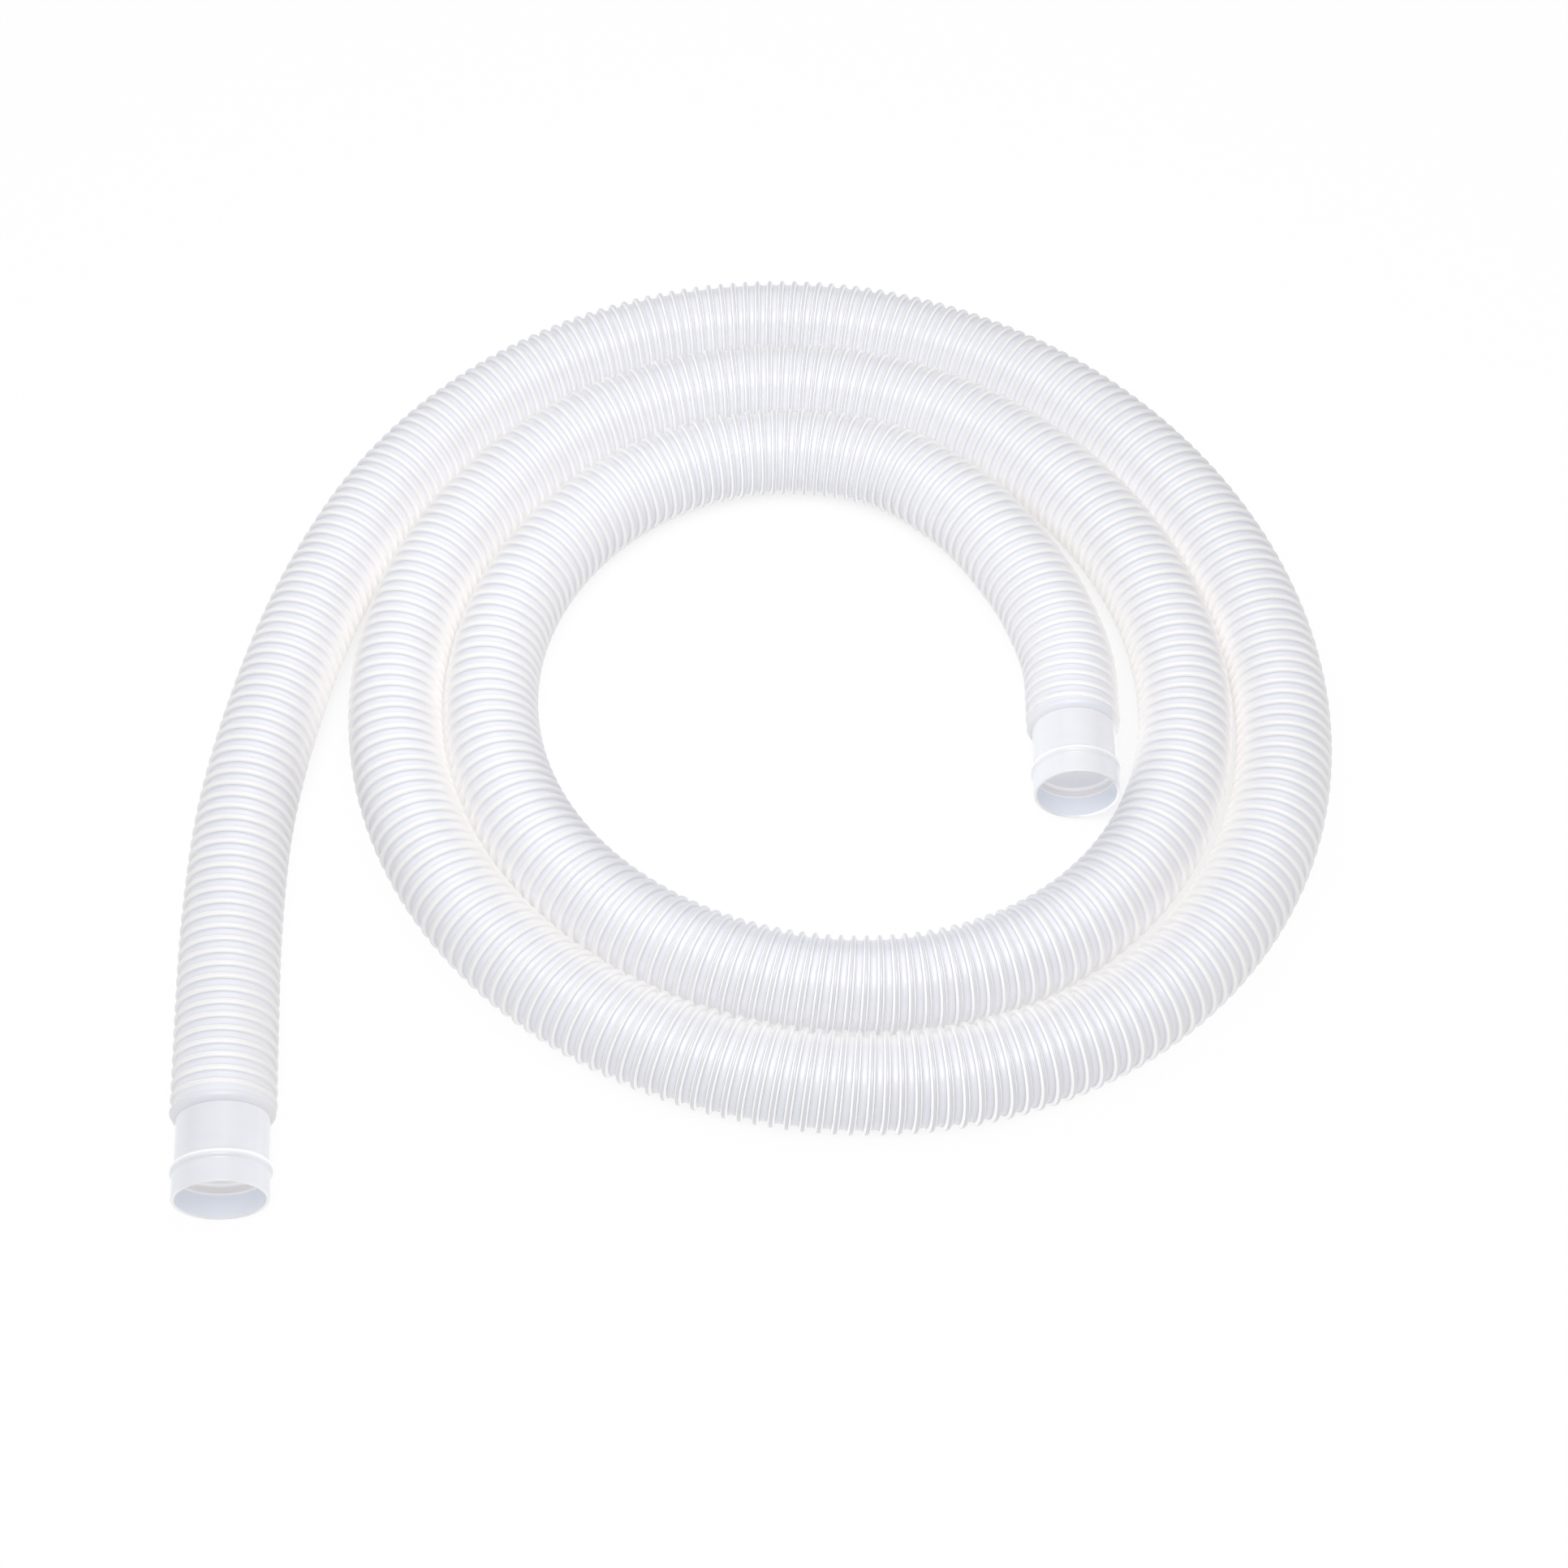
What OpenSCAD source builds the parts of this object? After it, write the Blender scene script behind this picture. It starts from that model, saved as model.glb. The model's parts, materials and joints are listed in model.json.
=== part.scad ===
// Corrugated suction hose for a pool cleaner, laid down as a flat spiral coil.
// One ribbed tube runs from the end in the middle of the coil to the loose end outside it.
// A collar and a socket cuff close each end.

/* [Hose] */
// Inside diameter of the ribbed tube
hose_bore = 32; // [28:0.5:36]
// Wall of the tube between the ribs
hose_wall = 1.6; // [1.2:0.1:2.4]
// Height of a rib above the wall beside it
rib_height = 2.4; // [1.2:0.1:3.2]
// Distance from one rib to the next along the hose
rib_step = 16; // [14:0.5:30]

/* [Coil] */
// Radius at which the spiral of the coil would start
coil_radius = 118; // [105:1:180]
// Gap that each loop leaves to the loop inside it, on average
loop_gap = 1.3; // [1.2:0.1:6]
// Length of the coil from front to back, as a share of its width
coil_stretch = 1.021; // [1:0.001:1.1]
// Lean of the coil's long axis towards its far left corner
coil_lean = 0.027; // [0:0.001:0.04]
// Unevenness of the loops, which bulge in three places
coil_bulge = 1.85; // [0:0.05:4]
// Gap between the mouth of the inner end and the loop beside it
mouth_gap = 1.1; // [0.8:0.1:6]
// Straight length of hose behind the inner collar, beyond the spigot inside it
inner_straight = 3; // [2:1:20]

/* [Cuffs] */
// Bore of a cuff, which takes the spigot of a fitting
cuff_bore = 32.2; // [28:0.1:36]
// Wall of a cuff
cuff_wall = 1.35; // [0.9:0.05:2]
// Length of the sleeve between the collar and the bead
sleeve_len = 19.5; // [10:0.5:40]
// Width of the hollow bead that stiffens the mouth
bead_width = 3; // [2:0.1:6]
// Height of the bead above the sleeve
bead_height = 1.35; // [0.5:0.05:2.4]
// Length of the mouth beyond the bead
mouth_len = 10; // [5:0.5:25]
// Step by which the mouth is wider than the sleeve, on the radius
mouth_flare = 0.5; // [0.2:0.05:1.2]
// Length of the spigot that holds the cuff inside the hose
spigot_len = 15; // [10:1:35]
// Thickness of the stop that a fitting meets at the root of the sleeve
stop_len = 2; // [1:0.5:5]

/* [Collars] */
// Length of the collar that covers the root of a cuff
collar_len = 7.5; // [4:0.5:15]
// Wall of a collar
collar_wall = 2.4; // [1.2:0.1:4]
// Edge break on the free lip of a collar
collar_edge = 0.8; // [0.2:0.1:1]

/* [Fits] */
// Clearance on the radius between a cuff's spigot and the hose
spigot_fit = 0.2; // [0.1:0.05:0.4]
// Clearance on the radius between a collar and the cuff inside it
collar_fit = 0.15; // [0.1:0.05:0.4]
// Clearance between the end face of the hose and the cuff and collar on it
seat_fit = 0.05; // [0.05:0.05:0.3]

/* [Hidden] */
$fn = 96;

// Radii of the tube and of the cuff
bore_r = hose_bore / 2;
valley_r = bore_r + hose_wall;
rib_r = valley_r + rib_height;
socket_r = cuff_bore / 2;
sleeve_r = socket_r + cuff_wall;
bead_r = sleeve_r + bead_height;
mouth_r = sleeve_r + mouth_flare;
spigot_r = bore_r - spigot_fit;
stop_ri = min(spigot_r - cuff_wall, socket_r);
stop_ro = max(spigot_r, sleeve_r);
collar_ri = stop_ro + collar_fit;
collar_r = collar_ri + collar_wall;

// Places along a cuff, from the end of the ribbed tube
bead_z = collar_len + sleeve_len;
bead_slope = bead_width * 0.3;
rim_z = bead_z + bead_width + mouth_len;

// Height at which the hose lies, so that nothing is lower than the floor
axis_z = max(rib_r, collar_r, bead_r, mouth_r);

// Spiral of the coil, in degrees from its start
coil_first = 75;
coil_last = 880;
bulge_at = 84.5;
bulges = 3;
loop_step = 2 * rib_r + loop_gap;
function coil_r(a) = coil_radius + loop_step * a / 360 + coil_bulge * cos(bulges * (a - bulge_at));
function coil_point(a) =
    coil_r(a) * [cos(a) - coil_lean * sin(a), coil_stretch * sin(a) - coil_lean * cos(a)];

// Place at a distance inwards from the middle of the loop at an angle
function inside_loop(a, reach) = coil_point(a) - reach * unit(coil_point(a));

// Free route of the inner end: angles on the loop beside it, with the gap left to that loop.
// Its last leg is straight and ends where its mouth rests beside the loop.
inner_rests = [[415.4, 4.6], [398.2, 7.3], [380, 7.9]];
inner_facing = -1.5;
mouth_at = 336;
// Free route of the outer end, as steps from the end of the coil. The last leg is straight.
outer_steps = [[-15, -46], [-25, -98], [-30, -150], [-29, -197], [-25, -242], [-20.5, -283]];
// Points of the free routes at which the bends give way to the ends that swing
inner_bend_knot = 3;
outer_bend_knot = 2;

function unit(v) = v / norm(v);
// Direction of the coil at an angle, towards the next loop out
function coil_way(a) = unit(coil_point(a + 0.5) - coil_point(a - 0.5));

// Smooth curve through a list of points, with the direction given at its start
function knot_way(p, start, i) =
    i == 0 ? start
    : i >= len(p) - 2 ? unit(p[len(p) - 1] - p[len(p) - 2])
    : unit(p[i + 1] - p[i - 1]);
function curve_point(p, start, i, t) =
    let (reach = norm(p[i + 1] - p[i]))
    let (from_way = knot_way(p, start, i) * reach, to_way = knot_way(p, start, i + 1) * reach)
    p[i] * (1 + 2 * t) * pow(1 - t, 2) + from_way * t * pow(1 - t, 2)
    + p[i + 1] * t * t * (3 - 2 * t) + to_way * t * t * (t - 1);
knot_parts = 16;
function curve(p, start, first, last) = [
    for (i = [first : last - 1]) for (j = [0 : knot_parts - 1]) curve_point(p, start, i, j / knot_parts),
    p[last]
];

inner_out = [sin(inner_facing), -cos(inner_facing)];
inner_mouth = inside_loop(mouth_at, rib_r + mouth_gap) - mouth_r * [-inner_out[1], inner_out[0]];
inner_end = inner_mouth - rim_z * inner_out;
inner_knots = concat(
    [coil_point(coil_first)],
    [for (k = inner_rests) inside_loop(k[0], 2 * rib_r + k[1])],
    [inner_end - (spigot_len + inner_straight) * inner_out, inner_end]
);
outer_knots = concat([coil_point(coil_last)], [for (s = outer_steps) coil_point(coil_last) + s]);
inner_way = -coil_way(coil_first);
outer_way = coil_way(coil_last);
inner_joint_way = knot_way(inner_knots, inner_way, inner_bend_knot);
outer_joint_way = knot_way(outer_knots, outer_way, outer_bend_knot);
inner_knot_last = len(inner_knots) - 1;
outer_knot_last = len(outer_knots) - 1;

// Centre lines of the five stretches, each running away from the coil
coil_line = [for (a = [coil_first : 1 : coil_last]) coil_point(a)];
inner_bend_line = curve(inner_knots, inner_way, 0, inner_bend_knot);
inner_tail_line = curve(inner_knots, inner_way, inner_bend_knot, inner_knot_last);
outer_bend_line = curve(outer_knots, outer_way, 0, outer_bend_knot);
outer_tail_line = curve(outer_knots, outer_way, outer_bend_knot, outer_knot_last);

// Distance along a line of points, as a list with one value for each point
function run_lengths(p, i = 0, so_far = 0) =
    i == len(p) - 1 ? [so_far]
    : concat([so_far], run_lengths(p, i + 1, so_far + norm(p[i + 1] - p[i])));
function along(p, runs, s) = [
    lookup(s, [for (i = [0 : len(p) - 1]) [runs[i], p[i][0]]]),
    lookup(s, [for (i = [0 : len(p) - 1]) [runs[i], p[i][1]]])
];
function line_length(p) = let (runs = run_lengths(p)) runs[len(runs) - 1];
function line_middle(p) = let (runs = run_lengths(p)) along(p, runs, runs[len(runs) - 1] / 2);

// Place of the outer end, and the direction in which its mouth faces
outer_end = outer_knots[outer_knot_last];
outer_out = unit(outer_end - outer_knots[outer_knot_last - 1]);

// Box of the whole part, which puts its origin under its middle
ring_sides = 8;
ring_turn = 180 / ring_sides;
function side_points(p, r) = [
    for (i = [0 : len(p) - 1])
        let (way = unit(p[min(i + 1, len(p) - 1)] - p[max(i - 1, 0)]))
        for (k = [-r, r]) p[i] + k * [-way[1], way[0]]
];
function rim_points(end, out) = [
    for (k = [-mouth_r, mouth_r]) end + rim_z * out + k * [-out[1], out[0]]
];
box_points = concat(
    side_points(coil_line, rib_r),
    side_points(outer_tail_line, rib_r),
    side_points(outer_bend_line, rib_r),
    rim_points(outer_end, outer_out)
);
box_x = [for (p = box_points) p[0]];
box_y = [for (p = box_points) p[1]];
middle = [(min(box_x) + max(box_x)) / 2, (min(box_y) + max(box_y)) / 2];

// Least gap between the surfaces of neighbouring loops, and of the loose end and the coil
function least_reach(a, b) = min([for (p = a) for (q = b) norm(p - q)]);
next_loop_gap = min([
    for (a = [coil_first : 2 : coil_last - 360])
        min([for (b = [a + 340 : 1 : min(a + 380, coil_last)]) norm(coil_point(a) - coil_point(b))])
]) - 2 * rib_r;
coil_left = [for (a = [430 : 1 : 640]) coil_point(a)];
coil_right = [for (a = [300 : 1 : 440]) coil_point(a)];
outer_gap = least_reach(concat(outer_bend_line, outer_tail_line), coil_left) - 2 * rib_r;
inner_gap = least_reach(concat(inner_bend_line, inner_tail_line), coil_right) - 2 * rib_r;
bead_side = inner_end + (rim_z - mouth_len) * inner_out + bead_r * [-inner_out[1], inner_out[0]];
rim_side = inner_mouth + mouth_r * [-inner_out[1], inner_out[0]];
cuff_gap = least_reach([bead_side, rim_side], coil_right) - rib_r;
hose_length =
    line_length(coil_line) + line_length(inner_bend_line) + line_length(inner_tail_line)
    + line_length(outer_bend_line) + line_length(outer_tail_line);
union() {
    echo(least_gap_between_loops = next_loop_gap, outer_end_to_coil = outer_gap, inner_end_to_coil = inner_gap, inner_cuff_to_coil = cuff_gap);
    echo(ribbed_length = hose_length, length_with_cuffs = hose_length + 2 * rim_z);
    echo(inner_end = inner_end - middle, inner_out = inner_out, outer_end = outer_end - middle, outer_out = outer_out);
    echo(inner_pivot = line_middle(inner_bend_line) - middle, outer_pivot = line_middle(outer_bend_line) - middle);
    echo(middle = middle, rim_z = rim_z, bead_z = bead_z, socket_r = socket_r);
}

// One ring of the tube: an eight-sided section that lies on a flat, with its flats at the radius
function ring(p, way, r) = [
    for (k = [0 : ring_sides - 1])
        let (turn = ring_turn + k * 360 / ring_sides, reach = r / cos(ring_turn))
        [
            p[0] - middle[0] - way[1] * reach * cos(turn),
            p[1] - middle[1] + way[0] * reach * cos(turn),
            axis_z + reach * sin(turn)
        ]
];

// Triangles between two neighbouring rings whose points start at a and b
function band(a, b) = [
    for (k = [0 : ring_sides - 1])
        let (next = (k + 1) % ring_sides)
        each [[a + k, b + k, b + next], [a + k, b + next, a + next]]
];

// Ribbed tube along a line, open from end to end. A stretch that ends in a collar ends on a rib.
// Its end faces are square to the directions given, so that neighbouring stretches meet face to face.
module ribbed_tube(line, start_way, end_way, ends_on_rib) {
    runs = run_lengths(line);
    total = runs[len(runs) - 1];
    half_ribs = 2 * round(total / rib_step) + (ends_on_rib ? 1 : 0);
    half_step = total / half_ribs;
    nudge = total / 2000;
    function way_at(i) =
        let (s = i * half_step)
        i == 0 ? start_way
        : i == half_ribs ? end_way
        : unit(along(line, runs, s + nudge) - along(line, runs, s - nudge));
    outer_rings = [
        for (i = [0 : half_ribs])
            ring(along(line, runs, i * half_step), way_at(i), i % 2 == 0 ? valley_r : rib_r)
    ];
    bore_step = ends_on_rib ? 1 : 4;
    bore_stops = concat([for (i = [0 : bore_step : half_ribs - max(bore_step - 1, 1)]) i], [half_ribs]);
    bore_rings = [
        for (i = bore_stops) ring(along(line, runs, i * half_step), way_at(i), bore_r)
    ];
    outer_count = len(outer_rings) * ring_sides;
    bore_last = outer_count + (len(bore_rings) - 1) * ring_sides;
    points = concat([for (r = outer_rings) each r], [for (r = bore_rings) each r]);
    faces = concat(
        [for (i = [0 : len(outer_rings) - 2]) each band(i * ring_sides, (i + 1) * ring_sides)],
        [
            for (i = [0 : len(bore_rings) - 2])
                each band(outer_count + (i + 1) * ring_sides, outer_count + i * ring_sides)
        ],
        band(outer_count, 0),
        band(outer_count - ring_sides, bore_last)
    );
    polyhedron(points = points, faces = faces);
}

// Puts a piece that is drawn along +Z at an end of the hose, facing out of it
module at_end(end, out) {
    translate([end[0] - middle[0], end[1] - middle[1], axis_z])
        rotate([0, 90, atan2(out[1], out[0])])
            children();
}

// Plain collar whose free lip stands round the root of a cuff
module collar() {
    rotate_extrude()
        polygon([
            [collar_ri, seat_fit], [collar_r, seat_fit], [collar_r, collar_len - collar_edge],
            [collar_r - collar_edge, collar_len], [collar_ri, collar_len]
        ]);
}

// Thin moulded socket: spigot, stop, sleeve, hollow bead and mouth
module cuff() {
    rotate_extrude()
        union() {
            translate([spigot_r - cuff_wall, -spigot_len])
                square([cuff_wall, spigot_len + stop_len]);
            translate([stop_ri, seat_fit])
                square([stop_ro - stop_ri, stop_len - seat_fit]);
            translate([socket_r, seat_fit])
                square([cuff_wall, bead_z - seat_fit]);
            polygon([
                [sleeve_r, bead_z], [bead_r, bead_z + bead_slope],
                [bead_r, bead_z + bead_width - bead_slope], [mouth_r, bead_z + bead_width],
                [mouth_r - cuff_wall, bead_z + bead_width],
                [bead_r - cuff_wall, bead_z + bead_width - bead_slope],
                [bead_r - cuff_wall, bead_z + bead_slope], [socket_r, bead_z]
            ]);
            translate([mouth_r - cuff_wall, bead_z + bead_width])
                square([cuff_wall, mouth_len]);
        }
}

hose_colour = [0.86, 0.88, 0.9];
collar_colour = [0.88, 0.9, 0.92];
cuff_colour = [0.9, 0.92, 0.95];

module hose_coil() {
    color(hose_colour) ribbed_tube(coil_line, -inner_way, outer_way, false);
}

module hose_inner_bend() {
    color(hose_colour) ribbed_tube(inner_bend_line, inner_way, inner_joint_way, false);
}

module hose_inner_tail() {
    color(hose_colour) ribbed_tube(inner_tail_line, inner_joint_way, inner_out, true);
}

module hose_outer_bend() {
    color(hose_colour) ribbed_tube(outer_bend_line, outer_way, outer_joint_way, false);
}

module hose_outer_tail() {
    color(hose_colour) ribbed_tube(outer_tail_line, outer_joint_way, outer_out, true);
}

module inner_collar() {
    color(collar_colour) at_end(inner_end, inner_out) collar();
}

module inner_cuff() {
    color(cuff_colour) at_end(inner_end, inner_out) cuff();
}

module outer_collar() {
    color(collar_colour) at_end(outer_end, outer_out) collar();
}

module outer_cuff() {
    color(cuff_colour) at_end(outer_end, outer_out) cuff();
}

hose_coil();
hose_inner_bend();
hose_inner_tail();
hose_outer_bend();
hose_outer_tail();
inner_collar();
inner_cuff();
outer_collar();
outer_cuff();
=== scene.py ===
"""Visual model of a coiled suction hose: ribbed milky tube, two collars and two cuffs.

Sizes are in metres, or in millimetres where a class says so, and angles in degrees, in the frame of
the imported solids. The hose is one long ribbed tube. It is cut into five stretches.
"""

import json
import logging
import math
from dataclasses import dataclass, field
from enum import Enum

import bpy
import numpy as np
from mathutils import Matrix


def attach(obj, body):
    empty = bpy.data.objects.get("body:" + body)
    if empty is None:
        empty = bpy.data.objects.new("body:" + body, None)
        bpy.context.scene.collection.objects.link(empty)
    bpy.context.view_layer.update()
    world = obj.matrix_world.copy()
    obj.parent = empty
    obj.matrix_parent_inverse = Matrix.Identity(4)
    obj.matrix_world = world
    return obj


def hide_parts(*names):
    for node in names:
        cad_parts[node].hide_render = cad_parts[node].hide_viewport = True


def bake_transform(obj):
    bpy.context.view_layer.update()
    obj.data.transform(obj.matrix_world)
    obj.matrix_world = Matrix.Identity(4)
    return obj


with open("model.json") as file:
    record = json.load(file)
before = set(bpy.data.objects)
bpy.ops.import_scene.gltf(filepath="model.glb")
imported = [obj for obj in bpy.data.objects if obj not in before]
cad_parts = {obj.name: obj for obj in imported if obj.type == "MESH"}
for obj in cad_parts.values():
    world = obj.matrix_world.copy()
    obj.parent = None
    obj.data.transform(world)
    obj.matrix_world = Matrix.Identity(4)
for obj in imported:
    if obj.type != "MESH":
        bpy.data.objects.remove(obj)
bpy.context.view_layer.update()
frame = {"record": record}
LOG = logging.getLogger("suction_hose")
MM = 0.001

# Orders of a quad's corners that make two triangles, facing as the quad does or the other way
AS_GIVEN = (0, 1, 2, 0, 2, 3)
TURNED_ROUND = (0, 2, 1, 0, 3, 2)

# Parts of a rounded corner, and the most of an edge that a rounding may take up
ROUND_STEPS = 5
ROUND_SHARE = 0.45

# Marks of the distance from a cuff's rim, in millimetres, go on from here inside the cuff
INSIDE_FROM = 60.0

# Shares of the radius: where painted light starts to pale the bands at the sides of a lengthwise
# run, and how far that takes
FADE_FROM = 0.45
FADE_OVER = 0.45


class Body(Enum):
    """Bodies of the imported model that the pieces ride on."""

    COIL = "coil"
    INNER = "inner_end"
    OUTER = "outer_end"


class Slot(Enum):
    """Material slots of the record."""

    HOSE = "hose"
    COLLAR = "collar"
    CUFF = "cuff"


class End(Enum):
    """The two ends of the hose."""

    INNER = "inner"
    OUTER = "outer"


class FarEnd(Enum):
    """What a stretch of hose ends in: a cuff, or the next stretch."""

    FITTING = "fitting"
    HOSE = "object"


class Lay(Enum):
    """How a stretch of hose lies."""

    LOOSE = "loose"
    COILED = "coiled"


@dataclass(frozen=True)
class Spiral:
    """Flat spiral that the hose is coiled in, repeated from the solids.

    Attributes:
        radius: Radius at which the spiral would start.
        loop_step: Growth of the radius in one turn.
        stretch: Length from front to back, as a share of the width.
        lean: Shear of the long axis towards the far left corner.
        bulge: Height of the swellings.
        bulges: Number of swellings in a turn.
        bulge_at: Angle of a swelling.
        first: Angle at which the coil starts.
        last: Angle at which the coil ends.
        beside: Angle to each side over which a direction is taken.
    """

    radius: float = 0.118
    loop_step: float = 0.0413
    stretch: float = 1.021
    lean: float = 0.027
    bulge: float = 0.00185
    bulges: int = 3
    bulge_at: float = 84.5
    first: float = 75.0
    last: float = 880.0
    beside: float = 0.5

    def points(self, angles: np.ndarray) -> np.ndarray:
        """Places on the spiral.

        The radius grows evenly with the angle and swells and shrinks three times in a turn. The
        turn is then stretched along Y and leant over by a shear.

        Args:
            angles: Angles on the spiral.

        Returns:
            Array of X and Y, one row for each angle.
        """
        turn = np.radians(angles)
        swell = self.bulge * np.cos(np.radians(self.bulges * (angles - self.bulge_at)))
        reach = self.radius + self.loop_step * angles / 360.0 + swell
        x = np.cos(turn) - self.lean * np.sin(turn)
        y = self.stretch * np.sin(turn) - self.lean * np.cos(turn)
        return reach[:, None] * np.stack([x, y], axis=1)

    def way(self, angle: float) -> np.ndarray:
        """Direction of the spiral at an angle, towards the next loop out."""
        near = self.points(np.array([angle - self.beside, angle + self.beside]))
        return unit(near[1] - near[0])

    def inside(self, angle: float, reach: float) -> np.ndarray:
        """Place at a distance inwards from the middle of the loop at an angle."""
        middle = self.points(np.array([angle]))[0]
        return middle - reach * unit(middle)


def unit(vector: np.ndarray) -> np.ndarray:
    """The vector at length 1."""
    return vector / np.linalg.norm(vector)


def smooth_step(values: np.ndarray) -> np.ndarray:
    """Values held from 0 to 1, with a soft start and end."""
    held = np.clip(values, 0.0, 1.0)
    return held * held * (3.0 - 2.0 * held)


def smooth_run(knots: np.ndarray, start_way: np.ndarray, parts: int = 60) -> np.ndarray:
    """Smooth curve through knots, whose last leg is straight.

    Each leg is a cubic whose end directions are those of the chord between the neighbouring
    knots, with the length of the leg itself.

    Args:
        knots: Places that the curve goes through, one row each.
        start_way: Direction at the first knot.
        parts: Number of steps in each leg.

    Returns:
        Array of X and Y along the curve.
    """
    last = len(knots) - 1
    ways = [start_way] + [unit(knots[i + 1] - knots[i - 1]) for i in range(1, last - 1)]
    ways += [unit(knots[last] - knots[last - 1])] * 2
    t = np.linspace(0.0, 1.0, parts, endpoint=False)[:, None]
    legs = []
    for i in range(last):
        reach = np.linalg.norm(knots[i + 1] - knots[i])
        legs.append(
            knots[i] * (1 + 2 * t) * (1 - t) ** 2
            + ways[i] * reach * t * (1 - t) ** 2
            + knots[i + 1] * t * t * (3 - 2 * t)
            + ways[i + 1] * reach * t * t * (t - 1)
        )
    legs.append(knots[last:])
    return np.concatenate(legs)


@dataclass
class HoseLine:
    """Centre line of the whole hose, from the end inside the coil to the loose end.

    The routes are those of the solids. A mount of the record ties them to the frame.

    Attributes:
        spiral: Spiral of the coil.
        height: Height of the axis above the floor.
        hose_radius: Radius over the ribs.
        inner_rests: Angles on the loop beside the inner end, with the gaps left to that loop.
        inner_facing: Angle of the inner mouth from facing along -Y.
        inner_straight: Length of the inner end's straight last leg.
        mouth_at: Angle on the loop that the inner mouth rests beside.
        mouth_gap: Gap between the inner mouth and that loop.
        mouth_radius: Radius of a cuff's mouth.
        cuff_reach: Distance from the end of the hose to a cuff's rim.
        outer_steps: Route of the loose end, as steps from the end of the coil.
        inner_bend_knot: Knot at which the inner end's bend is over.
        outer_bend_knot: Knot at which the loose end's bend is over.
        socket_middle: Distance from the end of the hose to the middle of a socket.
        coil_step: Angle between two points of the coil.
        station_step: Distance between the stations from which other loops are measured.
        own_stretch: Length of hose to each side of a place that isn't another loop.
        batch: Number of places that are measured at a time.
        far: Distance that stands for no loop at all.
        crowd_reach: Clear distance at which another loop starts to show.
        crowd_full: Clear distance at which it shows fully.
        least_width: Least distance from the axis that a direction is taken at.
        cream_tilt: Tilt at which the painted cream light starts to fade on a side that faces along
            X.
        cream_swing: How much higher that is where the side faces the back, and lower at the front.
        cream_soft: Tilt over which the painted cream light fades.
        painted_glow_tilt: Tilt at which no more painted glow is added beside another loop.
        back_share: Share of the radius over which the painted shade of an open back sets in.
        flat_ends: Length at each end of the hose over which the rib flattens.
        end_depth: Share of the rib's depth that is left at the ends.
        inner_out: Direction in which the inner mouth faces.
        outer_out: Direction in which the loose end's mouth faces.
        inner_knots: Knots of the inner end's route.
        outer_knots: Knots of the loose end's route.
        points: X and Y of the points of the line.
        ways: Directions of the line at its points.
        runs: Distances along the line of its points.
        length: Length of the line.
        coil_start: Distance along the line at which the coil starts.
        coil_end: Distance along the line at which the coil ends.
    """

    spiral: Spiral = field(default_factory=Spiral)
    height: float = 0.020
    hose_radius: float = 0.020
    inner_rests: tuple = ((415.4, 0.0046), (398.2, 0.0073), (380.0, 0.0079))
    inner_facing: float = -1.5
    inner_straight: float = 0.018
    mouth_at: float = 336.0
    mouth_gap: float = 0.0011
    mouth_radius: float = 0.01795
    cuff_reach: float = 0.040
    outer_steps: tuple = (
        (-0.015, -0.046),
        (-0.025, -0.098),
        (-0.030, -0.150),
        (-0.029, -0.197),
        (-0.025, -0.242),
        (-0.0205, -0.283),
    )
    inner_bend_knot: int = 3
    outer_bend_knot: int = 2
    socket_middle: float = 0.0145
    coil_step: float = 0.25
    station_step: float = 0.006
    own_stretch: float = 0.15
    batch: int = 8000
    far: float = 1.0
    crowd_reach: float = 0.027
    crowd_full: float = 0.012
    least_width: float = 1e-6
    cream_tilt: float = 8.0
    cream_swing: float = 42.0
    cream_soft: float = 40.0
    painted_glow_tilt: float = 45.0
    back_share: float = 0.6
    flat_ends: float = 0.12
    end_depth: float = 0.6
    inner_out: np.ndarray = field(init=False)
    outer_out: np.ndarray = field(init=False)
    inner_knots: np.ndarray = field(init=False)
    outer_knots: np.ndarray = field(init=False)
    points: np.ndarray = field(init=False)
    ways: np.ndarray = field(init=False)
    runs: np.ndarray = field(init=False)
    length: float = field(init=False)
    coil_start: float = field(init=False)
    coil_end: float = field(init=False)

    def __post_init__(self) -> None:
        """Works out the line, its lengths and its directions."""
        spiral = self.spiral
        facing = math.radians(self.inner_facing)
        self.inner_out = np.array([math.sin(facing), -math.cos(facing)])
        side = np.array([-self.inner_out[1], self.inner_out[0]])
        rim = spiral.inside(self.mouth_at, self.hose_radius + self.mouth_gap)
        inner_end = rim - self.mouth_radius * side - self.cuff_reach * self.inner_out
        rests = [spiral.inside(a, 2 * self.hose_radius + gap) for a, gap in self.inner_rests]
        past_last = spiral.last + self.coil_step / 2
        coil = spiral.points(np.arange(spiral.first, past_last, self.coil_step))
        inner_knots = np.array(
            [coil[0], *rests, inner_end - self.inner_straight * self.inner_out, inner_end]
        )
        outer_knots = coil[-1] + np.vstack([[0.0, 0.0], np.array(self.outer_steps)])
        inner_run = smooth_run(inner_knots, -spiral.way(spiral.first))
        outer_run = smooth_run(outer_knots, spiral.way(spiral.last))
        self.outer_out = unit(outer_knots[-1] - outer_knots[-2])
        socket = next(m for m in frame["record"]["mounts"] if m["name"] == "outer_socket")
        reached = outer_knots[-1] + self.socket_middle * self.outer_out
        shift = np.array(socket["pos_m"][:2]) - reached
        points = np.concatenate([inner_run[::-1], coil[1:], outer_run[1:]]) + shift
        steps = np.linalg.norm(np.diff(points, axis=0), axis=1)
        self.runs = np.concatenate([[0.0], np.cumsum(steps)])
        self.points = points
        ways = np.gradient(points, self.runs, axis=0)
        ways[0] = -self.inner_out
        ways[-1] = self.outer_out
        self.ways = ways / np.linalg.norm(ways, axis=1)[:, None]
        self.length = float(self.runs[-1])
        self.coil_start = float(self.runs[len(inner_run) - 1])
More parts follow.
